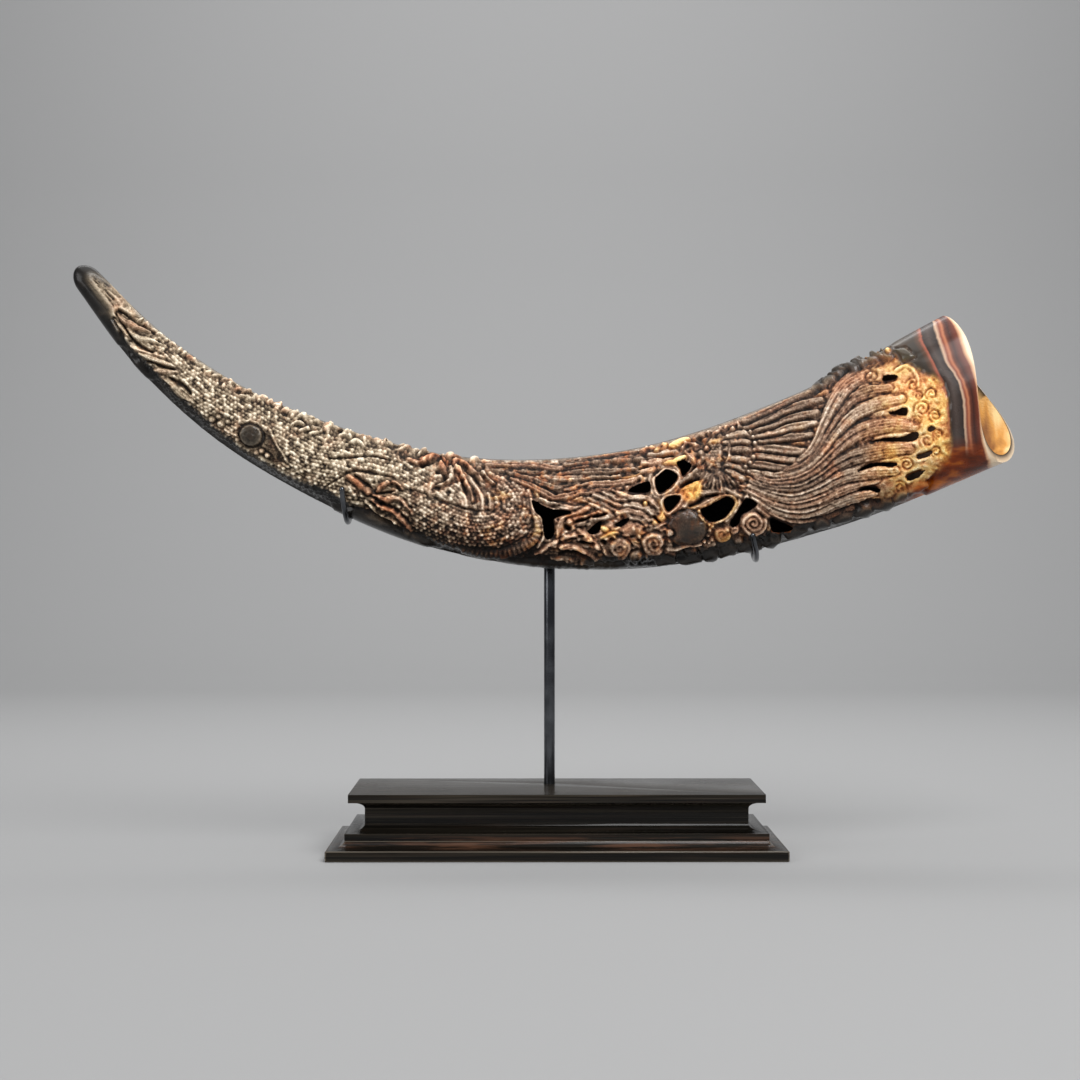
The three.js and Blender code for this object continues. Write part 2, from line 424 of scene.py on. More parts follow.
    def scales(self, points, widths, pitch, top=RAISED, low=-1.9, arch=1.2, waver=0.7, shade=0.0, edge=True):
        """A band of overlapping scales along a curve, arched across."""
        widths = np.atleast_1d(widths)
        area, away, side, run, half = self.along(points, widths, widths.max() + MARGIN)
        inside = away < half
        v = (away * side + waver * self.wander[0][area]) / pitch
        row = np.floor(v)
        u = (run + waver * self.wander[1][area]) / (pitch * SCALE_LENGTH) + 0.5 * (row % 2)
        place = np.floor(u)
        along = u - place - 0.5
        over = v - row - 0.5
        chance = scattered(row, place)
        fall = np.abs(over / 0.5) ** SCALE_SQUARENESS
        bump = np.clip(1 - fall - np.abs((along - 0.05) / 0.52) ** SCALE_SQUARENESS, 0, 1) ** 0.5
        bump *= 1 - SCALE_TILT * (0.5 - along)
        body = -arch * (away / half) ** 3 - SCALE_UNEVENNESS * chance
        raised = body + low + (top - low) * bump
        height = self.height[area]
        if edge:
            rim = (away >= half) & (away < half + 1.0)
            height[rim] = np.minimum(height[rim], SCALE_EDGE)
        height[inside] = raised[inside]
        self.shade[area][inside] = shade + SCALE_SHADE * (0.5 - chance[inside])

    def ribs(self, points, widths, pitch, top=RAISED, low=-2.0):
        """A band with ribs straight across it."""
        widths = np.atleast_1d(widths)
        area, away, _, run, half = self.along(points, widths, widths.max() + MARGIN)
        part = away / np.maximum(half, LEAST_HALF)
        wave = np.sqrt(np.abs(np.sin(np.pi * run / pitch)))
        raised = low + (top - low) * wave * np.sqrt(np.clip(1 - part ** 4, 0, 1))
        height = self.height[area]
        rim = (part >= 1) & (away < half + 0.7)
        height[rim] = np.minimum(height[rim], low - RIB_CUT)
        height[part < 1] = raised[part < 1]
        self.shade[area][part < 1] = RIB_SHADE

    def knob(self, x, z, radius, top=RAISED, low=-2.2, shade=0.0, tint=None, amount=1.0):
        """A round boss with a groove round it."""
        area, away = self.round_cells(x, z, radius + 1.2)
        part = away / radius
        height = self.height[area]
        rim = (part >= 1) & (part < 1 + 0.8 / radius)
        height[rim] = np.minimum(height[rim], low - KNOB_CUT)
        raised = low + (top - low) * np.sqrt(np.clip(1 - part ** 2, 0, 1))
        height[part < 1] = raised[part < 1]
        self.shade[area][part < 1] = shade + self.dice.uniform(*KNOB_SHADES)
        self.tint(area, part < 1, tint, amount)

    def curl(self, x, z, radius, turns, width, start, turn, top=RAISED, bed=-2.9, tint=None):
        """A spiral scroll on a sunk round bed."""
        area, away = self.round_cells(x, z, radius + MARGIN)
        self.height[area][away < radius + 0.4] = bed
        count = max(8, int(14 * turns))
        points = spiral_points(x, z, width * 0.4, radius - width, turns, count, start, turn)
        widths = (width * 0.8, width, width * 0.9)
        self.strand(points, widths, top, bed + 0.3, 0.0, shade=CURL_SHADE, tint=tint, amount=CURL_TINT)

    def spiral(self, x, z, radius, turns, start):
        """A spiral line cut into the surface."""
        points = spiral_points(x, z, 0.5, radius, turns, int(14 * turns), start)
        self.groove(points, SPIRAL_WIDTHS, SPIRAL_DEPTH, 0.4)

    def area_inside(self, outline, reach=1.0, waver=0.0):
        """The cells round an outline, which of them lie inside it, and their places across and up."""
        outline = np.array(outline, float)
        area, across, up = self.cells(outline, reach)
        across = across + waver * self.wander[1][area]
        up = up + waver * self.wander[0][area]
        inside = np.zeros(across.shape, bool)
        for (x0, z0), (x1, z1) in zip(outline, np.roll(outline, -1, 0)):
            if z0 == z1:
                continue
            spans = (z0 > up) != (z1 > up)
            inside ^= spans & (across < x0 + (up - z0) / (z1 - z0) * (x1 - x0))
        return area, inside, across, up

    def patch(self, outline, height, stipple=0.0, tint=None, amount=1.0, pitch=1.5, shade=0.0):
        """A flat area at one height, with a soft edge, plain or covered with grains."""
        area, inside, across, up = self.area_inside(outline)
        soft = softened(inside, 2)
        level = np.full(across.shape, float(height))
        if stipple:
            row = np.floor(up / pitch)
            shift = across / pitch + 0.5 * (row % 2)
            grain = np.hypot(shift - np.floor(shift) - 0.5, up / pitch - row - 0.5)
            level -= stipple * smoothstep(grain, 0.15, 0.6)
        field = self.height[area]
        field[:] = field * (1 - soft) + level * soft
        self.shade[area][inside] = shade
        self.tint(area, inside, tint, amount)


# Edges of the carved side
CARVED_LOWER_EDGE = [
    (-240, 290), (-236, 280), (-225, 268), (-211, 253), (-199, 241), (-185, 228), (-165, 213),
    (-145, 202), (-125, 195), (-110, 186), (-90, 176), (-70, 167), (-50, 161), (-30, 157), (-10, 155),
    (20, 153.5), (50, 153.5), (80, 157), (105, 162), (140, 171), (165, 180), (190, 190),
]
CARVED_RIGHT_EDGE = [
    (200, 200), (211, 211), (213, 219), (212.5, 232), (211, 245), (208, 254), (196, 261), (186, 264),
    (181, 275), (178, 292),
]
CARVED_TOP = [(178, 320), (-236, 320), (-240, 306)]
# Curves down the banded end: the lip, and both sides of the dark band
LIP = [
    (212, 290), (219, 283.3), (224.1, 272.8), (227, 258.5), (228.8, 242.4), (230.6, 227.4), (233.9, 216.4),
    (236.5, 212),
]
BAND_RIGHT = [(204, 277), (211, 263), (216, 257), (219, 247), (220, 238), (222, 219)]
BAND_LEFT = [(197, 276), (203, 266), (209, 253), (211, 245), (212.5, 232), (213, 219)]
BAND_CURVES = {"past_lip": LIP, "past_right": BAND_RIGHT, "past_left": BAND_LEFT}
BAND_DISTANCES = (0, 14.5, 25)
LAST_BAND = 7.0
PLAIN_VALUES = ("rust", "gold", "black", "relief", "amber", *BAND_CURVES)

# Windows pierced through the front wall
WINDOWS = [
    [(-13, 190), (-4, 185.5), (8, 183.5), (-1, 180), (-1, 175), (-2, 170), (-6, 169.5), (-8, 180.5),
     (-11, 183)],
    [(17, 173), (20, 176), (24, 178.5), (23, 173), (19, 171.5)],
    [(32, 176.5), (36, 179.5), (39.5, 179.5), (35, 175.5)],
    [(39, 195), (42, 197.5), (50, 200), (50, 194.5), (42, 194)],
    [(53.5, 201), (56, 204), (60, 206.5), (65.5, 203), (61.5, 197), (55.5, 194)],
    [(65, 210), (69, 211.5), (73, 208.5), (68.5, 203), (67, 207)],
    [(58, 189), (60, 191.5), (65, 192.5), (67, 190.5), (62, 184.5), (59.5, 184.5)],
    [(78, 184.5), (83, 187), (91, 191.5), (95, 190.5), (96, 187), (90, 180), (82.5, 178.5)],
    [(103, 191), (108.5, 188), (105, 184.6), (100, 181.7), (98.5, 177), (95, 175.3), (94, 178), (97, 182.4),
     (100, 187.4)],
    [(116, 180), (122, 178), (128, 175), (125, 173), (117, 173)],
    [(176.5, 256), (178, 257.5), (184, 257.5), (183.5, 255.5), (177, 254.5)],
    [(180, 237), (184, 238.5), (189, 240), (189, 236), (182, 236.5)],
    [(170, 221.5), (178, 223.5), (187, 224), (193, 226.5), (196, 226), (193, 222), (176, 222)],
    [(195, 213), (197, 214.5), (203.5, 216.5), (201, 213.5), (197, 212.5)],
    [(163, 205.5), (170, 209.5), (184, 210), (182, 208), (174, 208.5), (168, 207)],
    [(189.5, 201.5), (191, 203.5), (199, 206), (196, 202.5), (191, 200.5)],
    [(163, 195), (168, 197), (175, 196), (174, 194), (169, 195.5)],
    [(201, 228.5), (203.5, 230), (205, 228.5), (202.5, 227)],
]

RIMMED_WINDOWS = (4, 6, 7)
WINDOW_NEAR_Y = -80.0
WINDOW_FAR_Y = -14.0

# Dragon: tail, body and coil
TIP_LEAF = [(-253, 312.5), (-244, 308), (-234, 299), (-236, 294), (-240, 293), (-246, 299), (-251, 306)]
TIP_LINES = [
    [(-250, 309), (-243, 303), (-236, 295)], [(-251, 311), (-243, 305), (-234, 297)],
    [(-248, 306), (-241, 300), (-237, 293)], [(-247, 308.5), (-240, 303), (-233, 298)],
    [(-246, 303), (-241, 297.5), (-238, 292)], [(-249, 311), (-241, 305.5), (-236, 301)],
]
TAIL_RIDGES = [
    [(-237, 291.5), (-234, 288), (-229, 285.5), (-224, 284), (-215, 281)],
    [(-239, 288), (-234, 282), (-228, 279), (-220, 277), (-213, 275)],
    [(-231, 273), (-226, 271), (-220, 269.5), (-212, 268)],
    [(-226, 269), (-220, 266.5), (-212, 264.5), (-206, 262.5)],
    [(-218, 259.5), (-212, 259.5), (-205, 259.5)],
    [(-214, 256.5), (-208, 251), (-203, 246), (-196, 242)],
]
TAIL_SLOTS = [
    ([(-236, 293), (-230, 290), (-224, 286), (-215, 280.5)], (0.5, 1.2, 0.5)),
    ([(-234, 285), (-232, 281), (-229, 277), (-225, 273), (-218, 270.5)], (0.4, 1.0, 1.6, 0.6)),
    ([(-222, 265), (-215, 263), (-207, 261)], (0.5, 1.3, 0.6)),
    ([(-210, 256), (-204, 253), (-200, 250), (-198, 247)], (0.5, 2.0, 1.6, 0.4)),
]
BODY_PATH = [
    (-224, 278), (-208, 268), (-190, 251.5), (-170, 240.5), (-150, 229), (-132, 218), (-112, 213),
    (-92, 209), (-72, 199), (-58, 187),
]
BODY_HALF = (12, 18, 22, 24, 27, 28, 28, 27, 29, 24)
LOW_BODY_PATH = [(-150, 209), (-130, 203), (-108, 196), (-84, 187), (-60, 178)]
COIL_PATH = [
    (-92, 192), (-78, 186), (-66, 179), (-54, 173.5), (-41, 171.5), (-29, 174.5), (-22, 182), (-21, 191),
    (-27, 200), (-36, 205),
]
COIL_HALF = (6, 9, 11, 12.5, 13, 12.5, 11, 9.5, 8, 5)
SCALE_PITCH = 2.15
GROUND_PATH = [(-20, 190), (30, 188), (75, 190), (120, 200), (165, 220)]
DORSAL_BUMPS = [
    (-176, 256), (-166, 250.5), (-157, 247.5), (-149, 244), (-140, 239.5), (-133, 236), (-122, 232),
    (-112, 229), (-102, 226.5), (-92, 224.5), (-80, 222.5), (-70, 219.5), (-56, 217), (-44, 214.5),
]

UPPER_EDGE = [
    (-222, 289), (-205, 276), (-186, 260.5), (-166, 250), (-149, 243), (-132, 235), (-112, 228.5),
    (-92, 224), (-70, 219.5), (-52, 216.5),
]
EDGE_PITCH = 4.0
BODY_TUFTS = [(-139, 231), (-135, 228), (-113, 224.5), (-108, 221.5)]

# Dragon: legs and claws
LEG_STRANDS = [
    ([(-113, 203), (-106, 199), (-101, 193)], (2.0, 2.8, 2.4), "rust"),
    ([(-98, 194), (-94, 198), (-90, 200), (-86, 199), (-83, 196)], (1.6, 1.7, 1.2, 0.5), "rust"),
    ([(-99, 191.5), (-93, 190.5), (-88, 191), (-84, 189), (-78, 182)], (1.9, 1.9, 1.5, 0.5), "rust"),
    ([(-100, 189), (-94, 186), (-88, 183), (-84, 179), (-78, 172.5)], (2.2, 2.2, 1.8, 0.6), "rust"),
    ([(-104, 188), (-97, 182.5), (-90, 178.5), (-84, 174.5)], (1.2, 1.5, 0.5), None),
    ([(-80, 213), (-75, 212), (-70, 214), (-66, 216), (-62, 214), (-58, 211)], (1.4, 2.0, 2.4, 1.8),
     "rust"),
    ([(-62, 211), (-60, 206.5)], (1.8, 1.6), "rust"),
    ([(-56, 209), (-57, 203), (-60, 199.5), (-65, 198)], (1.7, 1.6, 1.3, 0.5), None),
    ([(-53, 209), (-50, 203), (-47, 197), (-45, 190)], (1.7, 1.5, 1.2, 0.5), "rust"),
    ([(-55, 212), (-50, 211.5), (-46, 208), (-40, 202)], (1.8, 1.5, 1.2, 0.5), "rust"),
    ([(-40, 206), (-33, 199)], (1.2, 0.6), None),
]
LEG_PITS = [
    (-99, 200, 1.6), (-60, 212.5, 0.8), (-57, 212, 0.8), (-54, 201, 1.5), (-48.5, 196, 1.2),
    (-64, 206, 1.6), (-92, 194.5, 1.3), (-88, 186.5, 1.2), (-82, 184, 1.0),
]

LEG_GAPS = [
    [(-97, 188), (-91, 186.5), (-86, 183.5), (-81, 178)], [(-97, 193.4), (-92, 194), (-87, 195.5)],
    [(-104, 186), (-97, 180.5), (-90, 176.5), (-83, 172)], [(-61, 205), (-60, 201.5)],
    [(-53, 205), (-50.5, 199), (-49, 193)], [(-49, 207.5), (-45, 204), (-41, 199)],
    [(-76, 210), (-70, 211), (-66, 212)], [(-109, 204), (-104, 200), (-100, 196.5)],
]

# Dragon: mane, shoulder and forelimbs
MANE_STRANDS = [
    ([(-35, 208), (-25, 207), (-17, 205.5), (-5, 207)], (0.6, 1.3, 1.2, 0.6), None),
    ([(-38, 211), (-25, 211), (-10, 210.5), (0, 208.5), (20, 210.5)], (0.8, 1.4, 1.4, 1.2, 0.7), "rust"),
    ([(-27, 207), (-20, 204), (-8, 200), (0, 197.5), (8, 199)], (0.6, 1.4, 1.4, 1.1, 0.6), None),
    ([(-24, 203), (-16, 199.5), (-9, 196), (-3, 193), (0, 192), (8, 193.5), (15, 195.5), (35, 197)],
     (0.7, 1.4, 1.5, 1.5, 1.3, 0.8), "rust"),
    ([(-8, 204.5), (2, 202.5), (12, 203), (24, 204.5), (34, 204)], (0.6, 1.3, 1.4, 1.3, 0.6), None),
    ([(5, 196.5), (20, 199.5), (35, 200.5), (46, 203)], (0.7, 1.4, 1.4, 0.8), "rust"),
    ([(0, 205.5), (15, 206.5), (30, 207), (42, 208)], (0.6, 1.3, 1.3, 0.7), None),
    ([(5, 211), (20, 213), (35, 214), (47, 213)], (0.9, 1.7, 1.7, 1.0), None),
    ([(6, 214.5), (20, 216.5), (34, 217.5), (47, 218.5)], (0.8, 1.6, 1.6, 1.0), "rust"),
]
MANE_SLITS = [
    ([(0, 207), (15, 208.5)], 0.5), ([(33, 209), (38, 210)], 0.6), ([(11, 197.8), (17, 198.3)], 0.5),
    ([(30, 202), (36, 202.6)], 0.6), ([(40, 206), (47, 206.5)], 0.8), ([(22, 201.6), (27, 202.2)], 0.5),
]
FORELIMBS = [
    ([(16, 187), (8, 186.5), (-2, 188.5), (-9, 191.5)], (1.2, 1.4, 1.3, 0.7), None),
    ([(17, 186), (9, 182), (2, 179.5), (0.8, 175), (1, 170), (-1, 166)], (1.6, 1.7, 1.8, 1.6, 1.2), "rust"),
    ([(0, 166), (-6, 162.5), (-14, 158)], (1.6, 1.8, 0.8), "rust"),
    ([(6, 178.5), (14, 180), (22, 183), (30, 185)], (1.3, 1.5, 1.5, 1.0), "rust"),
    ([(4, 171), (10, 175), (20, 179.5), (30, 182)], (1.3, 1.6, 1.5, 0.8), None),
    ([(3, 168), (8, 170), (13, 172), (17, 169), (24, 162.5)], (1.2, 1.5, 1.6, 1.4, 0.6), "rust"),
    ([(2, 164), (8, 163.5), (14, 161), (22, 156.5)], (1.4, 1.5, 1.4, 0.6), "rust"),
    ([(-3, 157), (5, 156.5), (13, 155), (20, 154)], (0.8, 1.2, 1.2, 0.6), None),
]
FORELIMB_PITS = [
    ([(5, 175.5), (6.5, 174.5)], 1.7), ([(11, 178.2), (18, 181)], 0.7), ([(20, 181), (28, 183.3)], 0.6),
    ([(13, 166), (20, 165)], 1.1), ([(2, 159.6), (8, 160.2), (14, 158), (19, 156)], 0.9),
    ([(25, 167), (29, 164)], 1.2),
]

# Dragon: head, jaw and whisker loop
HEAD_STRANDS = [
    ([(17, 192), (22, 189), (32, 185)], (0.7, 1.2, 0.6), None),
    ([(20, 194), (26, 191), (35, 187.5)], (0.7, 1.2, 0.6), None),
    ([(25, 195), (31, 192), (38, 190)], (0.7, 1.2, 0.6), None),
    ([(18, 188.5), (24, 186), (30, 182.5)], (0.6, 1.1, 0.5), None),
    ([(31, 196), (36, 193), (42, 192)], (0.7, 1.3, 0.8), "rust"),
    ([(40, 191), (45, 191.5), (50, 190), (55, 186)], (1.3, 2.0, 1.8, 0.9), None),
    ([(37, 187), (43, 187.5), (48, 186), (52, 182.5)], (1.2, 1.9, 1.6, 0.9), None),
    ([(33, 183.5), (40, 184), (46, 182.5), (50, 179)], (1.0, 1.7, 1.5, 0.8), "rust"),
    ([(40, 180.5), (45, 179.5), (49, 176.5)], (1.0, 1.4, 0.8), None),
    ([(56, 190), (58, 186), (57, 181), (53, 177.5)], (1.0, 1.4, 1.3, 0.8), "gold"),
    ([(60, 183), (65, 184), (70, 187.5), (71, 191)], (1.0, 1.4, 1.3, 0.8), None),
    ([(51, 204), (51, 197), (53, 193.3), (57, 191.6), (61, 193.5), (65, 198), (68, 202), (66, 206),
     (62, 209.3), (56, 209)], (1.3, 1.6, 1.7, 1.7, 1.6, 1.5, 1.2), None),
    ([(60, 192.5), (67, 195.8), (73, 198.6), (78.5, 200.5)], (1.1, 1.4, 1.4, 0.9), "gold"),
    ([(60, 193.5), (65, 196.5), (69.5, 200.8), (75.6, 207.3)], (1.0, 1.3, 1.3, 0.9), None),
    ([(46, 211), (54, 212), (60, 212), (69, 214.5)], (0.8, 1.5, 1.8, 0.8), "rust"),
    ([(46, 206), (50, 207.5), (53, 209)], (1.0, 1.5, 0.9), "rust"),
    ([(50, 216), (60, 217.5), (70, 219.5), (78, 223)], (0.9, 1.6, 1.6, 1.0), None),
    ([(70, 217), (74, 213), (76, 210)], (0.9, 1.3, 0.9), "rust"),
    ([(69, 183), (76, 185), (84, 189.5), (90, 193)], (1.0, 1.3, 1.3, 0.8), "rust"),
    ([(75, 195), (82, 194), (90, 194.5)], (1.0, 1.4, 0.9), None),
]
HEAD_SLITS = [
    ([(67, 197.5), (71.5, 200.5), (76, 202)], (0.4, 1.1, 0.5)),
    ([(72.5, 187), (76, 188.5), (79.5, 191.5)], (0.6, 1.2, 0.5)), ([(44, 208), (49, 209.5)], (0.4, 0.9)),
    ([(55, 214.5), (62, 215.5)], (0.5, 0.8)), ([(53, 181), (56, 178)], (0.7, 0.9)),
    ([(81, 192.5), (87, 193)], (0.5, 0.8)), ([(72, 206), (75, 209)], (0.5, 0.9)),
]
GOLD_LEAF = [
    (67.5, 194.1), (72.2, 196.8), (77.6, 199.5), (79, 198.2), (78.3, 193.4), (74.9, 190.1), (71.6, 188.9),
    (68.5, 190.3),
]
YELLOW_LEAVES = [
    ([(58.5, 210.6), (64, 212), (69.5, 214.6)], (0.9, 1.9, 0.9)),
    ([(61, 220.5), (66, 222.6), (72, 224)], (0.9, 1.8, 0.9)),
    ([(22, 176), (27, 173.5), (31, 169)], (0.8, 1.6, 0.7)),
    ([(24, 169.5), (28, 171.5), (33, 172)], (0.7, 1.3, 0.6)),
]
CLAW_PATCH = [(22, 172.5), (26, 176), (30, 178), (32, 173), (29, 167.5), (24, 168.5)]
SMOOTH_PATCH = [(34, 173), (36, 175), (41, 178), (48, 176), (46, 172), (39, 171)]
SCROLLS = [
    (53, 165.5, 7.6, 2.3, 1.2, 200, 1, "rust"), (34, 163, 7.2, 2.3, 1.2, 20, -1, "rust"),
    (107, 176.8, 8.2, 2.6, 1.05, 160, 1, "rust"), (90, 170.5, 5.6, 1.9, 1.1, 90, 1, "gold"),
    (83, 176, 3.0, 1.3, 0.9, 40, -1, "gold"), (97, 173, 3.0, 1.3, 0.9, 130, 1, "rust"),
    (43.5, 158, 4.4, 1.6, 1.0, 40, 1, None), (62, 159, 4.4, 1.6, 1.0, 0, 1, "rust"),
    (73, 160.5, 4.2, 1.6, 1.0, 180, -1, None), (99, 164.8, 4.6, 1.7, 1.0, 120, -1, None),
    (119, 168, 4.8, 1.7, 1.0, 60, 1, None),
]
PEARL = (71, 174, 10.8)
PEARL_BEADS = [
    (77.5, 184), (80, 182), (82, 179.3), (83, 176.3), (83.2, 173), (82.3, 169.5), (84.5, 167.5),
    (80.5, 166.3),
]

# Phoenix: crest, wing and tail
COLLAR = [(80, 212), (83, 208), (90, 209), (93, 215), (92, 222), (86, 226), (80, 222)]
NECK = [(78, 199), (84, 196), (93, 197), (99, 200), (98, 206), (90, 208.5), (82, 208), (78, 204)]
CREST_KNOBS = [(80, 224.5, 2.0), (87, 227, 2.2), (76, 221.5, 1.9), (78, 216.5, 1.8), (77, 211.5, 1.5)]
CREST_LUMPS = [
    ([(44, 217.5), (49, 219.5), (54, 220)], "rust"), ([(53, 218.5), (58, 221.5), (63, 222)], "gold"),
    ([(62, 220), (68, 223.8), (73, 224)], "gold"), ([(66, 219), (71, 221), (76, 221)], "rust"),
    ([(73, 223.5), (79, 226.8), (85, 228)], None), ([(84, 226.5), (90, 230.8), (96, 231.5)], "rust"),
    ([(93, 229.5), (99, 233.5), (105, 234.5)], "rust"),
]
NECK_CENTRE = (87.5, 211.5)
NECK_FAN_ANGLES = range(-128, -5, 9)
NECK_FAN_REACH = (4.0, 16.0)
WING_JOINT = [
    (104.7, 228, 0.9), (106.2, 224.8, 1.1), (107.2, 221.5, 1.2), (107, 217.8, 1.0), (106.6, 214, 1.2),
    (104.8, 210.8, 1.0), (102.2, 208.6, 1.1), (103.8, 206, 0.9),
]
COLLAR_EDGE = [(92, 223), (93.5, 218), (93.5, 214), (90.5, 211.3), (86, 210.3)]
COVERTS = [
    [(90, 222), (97, 223), (104, 222)], [(91, 218), (99, 218.3), (106, 217.5)],
    [(91, 214), (98, 213), (105, 212)], [(90, 210.5), (96, 208.5), (102, 206.5)],
    [(92, 206.5), (97, 204), (101, 202)], [(92, 225.5), (98, 227), (104, 227)],
]
WING_FEATHERS = [
    ([(103, 206), (108, 205), (115, 203.5)], 1.7),
    ([(105, 210.5), (114, 209.5), (125, 207.5)], 2.2),
    ([(106, 215), (115, 214.5), (124, 213), (132, 211.5)], 2.2),
    ([(106, 219.5), (116, 219), (126, 217.5), (135, 217)], 2.4),
    ([(106, 223), (117, 224), (128, 225), (138, 226)], 2.2),
    ([(105, 226), (117, 228), (128, 231), (140, 232.5)], 2.2),
    ([(103, 228.5), (115, 232), (127, 236), (141, 238.5)], 2.2),
    ([(99, 230), (112, 235), (126, 241), (143, 245.5)], 2.3),
    ([(101, 234), (113, 240), (126, 246), (140, 251.5)], 2.0),
]
TAIL_FEATHERS = [
    ([(104, 190), (109, 186.5), (115, 182), (122, 178), (130, 176), (140, 177), (150, 181), (160, 184.5)],
     "rust"),
    ([(104, 193), (110, 189.5), (118, 184.8), (128, 181.8), (138, 182.5), (150, 187.5), (160, 191),
     (172, 193.5)], None),
    ([(104, 195.5), (112, 191.5), (120, 188.5), (130, 187), (142, 190), (152, 195), (162, 198.5),
     (174, 201)], "rust"),
    ([(104, 198), (112, 195), (120, 192.3), (130, 191.5), (142, 195.5), (152, 201), (164, 204.5),
     (184, 205.5)], None),
    ([(105, 200.5), (112, 198), (122, 196.3), (132, 197), (142, 202), (152, 209), (164, 214), (180, 217),
     (192, 217.5)], None),
    ([(108, 202.5), (116, 200.3), (126, 200.6), (135, 203.5), (144, 210), (153, 219), (164, 227),
     (180, 231), (194, 230)], "rust"),
    ([(112, 205), (120, 203.8), (130, 206), (138, 211), (145, 219), (152, 229), (161, 238), (173, 243),
     (187, 245.5)], None),
    ([(124, 206.5), (132, 210), (139, 217), (146, 228), (152, 238), (160, 246.5), (170, 250.5),
     (180, 251.5)], "rust"),
    ([(131, 212), (137, 217), (142, 226), (147, 238), (152, 247), (158, 254), (168, 259.5)], None),
]
AMBER_CURLS = [
    (171, 257.5, 3.4), (201, 222, 3.0), (190, 209, 2.6), (198, 240, 3.0), (205, 236, 2.4), (193, 253, 2.6),
    (203, 248, 2.3), (187, 196, 2.4), (207, 226, 1.9), (195, 233, 2.0), (196, 247, 1.8), (206, 216, 1.9),
]
AMBER_FIELD = [
    (170, 262), (178, 264), (188, 264), (198, 261), (210, 254), (213, 245), (214, 232), (214, 219),
    (212, 210), (200, 198), (188, 190), (176, 189), (172, 200), (172, 230), (168, 250),
]
PALE_DOTS = [(179.2, 271.2, 1.8), (167.7, 268, 1.4), (174, 270.5, 1.0)]
TOP_EDGE = [(143, 254), (152, 260), (160, 264), (170, 267), (181, 270), (188, 269)]
TOP_SWELLS = [(147, 259, 10, 2.2), (156, 265, 11, 2.8), (166, 269, 10, 2.8), (175, 272, 9, 2.0)]
DARK_EDGE = [
    (15, 156), (30, 157), (45, 158), (60, 160), (80, 163), (100, 168.5), (115, 171.5), (130, 175),
    (146, 178.5), (169, 186), (185, 191), (198, 198),
]
LOW_EDGE = [(60, 156), (85, 159.5), (105, 163.5), (130, 171), (157, 180), (178, 187.5), (196, 196)]

# Small details on the dragon and the phoenix
GROUND_HALF = (34, 34, 36, 40, 44)
GROUND_PITCH = 2.6
LOW_BODY_HALF = (9, 11, 11, 11, 11)
COIL_RIBS = [(-52, 161.5), (-38, 159), (-25, 160.5), (-13, 167), (-10, 176), (-12, 184)]
COIL_RIB_HALF = (1.6, 2.4, 2.6, 2.4, 1.6)
RIB_PITCH = 2.6
COIL_EDGE = [(-14, 191), (-11.3, 184), (-8.3, 180), (-7.3, 175), (-7.3, 170), (-10, 164)]
BOSS = (-165.5, 225)
# Patch beside the boss, sunk and darkened as a painted shadow
BOSS_PAINTED_SHADOW = [(-162, 226), (-155, 229), (-150, 220), (-147, 211), (-152, 208), (-160, 213)]
BOSS_CREASE = [(-156, 230), (-152, 222), (-146, 210)]
PALE_BEADS = [(-187, 233, 2.0), (-183, 235, 1.6), (-182, 230.5, 2.2), (-178, 232.5, 1.5)]
RUST_BEADS = [(-163, 214.5), (-160, 216), (-157, 213.5)]
BACK_SPINES = [(-133, 233), (-132, 230), (-133, 227)]
BODY_CREASES = [
    ([(-123, 213), (-110, 214), (-100, 215), (-90, 213)], 0.9),
    ([(-126, 196), (-116, 203), (-108, 206.5), (-98, 205), (-88, 203)], (0.6, 1.1, 1.0, 0.6)),
]
ELBOWS = [(7, 178.5, 1.8), (12, 173.5, 1.5)]
DRAGON_EYE = (48, 188.6, 1.3)
PEARL_CURL = (61.5, 171.5, 2.6, 1.2, 0.9, 60, 1)
PEARL_FOOT = [(60, 162), (70, 163.5), (80, 165.5)]
PHOENIX_EYE = (81, 219, 1.6)
CHEST_STRANDS = [
    ([(97, 193), (98.5, 188), (96.5, 183), (92, 178.5)], (1.0, 1.3, 1.2, 0.8)),
    ([(91, 197), (96, 193.5), (103, 191)], (1.0, 1.4, 1.2)),
]
CHEST_KNOB = (103, 191, 1.7)
AMBER_CREST = [(184, 261), (188, 263.5), (192, 262), (195, 257), (196, 252)]
ABOVE_TOP_EDGE = [(192, 300), (143, 300)]
BELOW_DARK_EDGE = [(198, 150), (15, 150)]

# How the strands of each kind are cut
FILLER_CUT = dict(low=-2.6, outline=0.3, amount=0.5)
BUMP_CUT = dict(top=-0.1, waver=1.1, rough=1.2, shade=-0.06, amount=0.8)
TUFT_CUT = dict(low=-1.8, outline=0.4, waver=1.1, rough=1.0, shade=-0.12, amount=0.8)
LUMP_CUT = dict(low=-1.4, outline=0.3, waver=0.9, tint="black", amount=0.98)
TAIL_CUT = dict(low=-2.0, outline=0.6, strakes=1.4, shade=-0.04, amount=0.45)
LEG_CUT = dict(top=0, low=-2.3, outline=1.1, strakes=1.3, waver=0.9, rough=1.2, shade=-0.1)
MANE_CUT = dict(low=-2.2, outline=0.7, strakes=1.6, waver=0.5, shade=-0.1, amount=0.5)
FORELIMB_CUT = dict(low=-2.3, outline=0.9, strakes=1.5, waver=0.8, rough=1.0, amount=0.8)
CREST_CUT = dict(top=-0.2, outline=0.8, strakes=1.5, waver=1.0, rough=1.3, shade=-0.16, amount=0.6)
WING_CUT = dict(low=-2.6, outline=0.9, square=3, strakes=1.5, waver=0.2, shade=-0.07)
FAN_CUT = dict(top=-0.7, low=-2.2, outline=0.3, waver=0.3, shade=-0.14)
COVERT_CUT = dict(low=-2.1, outline=0.6, square=3, strakes=1.4, waver=0.3, shade=-0.1)
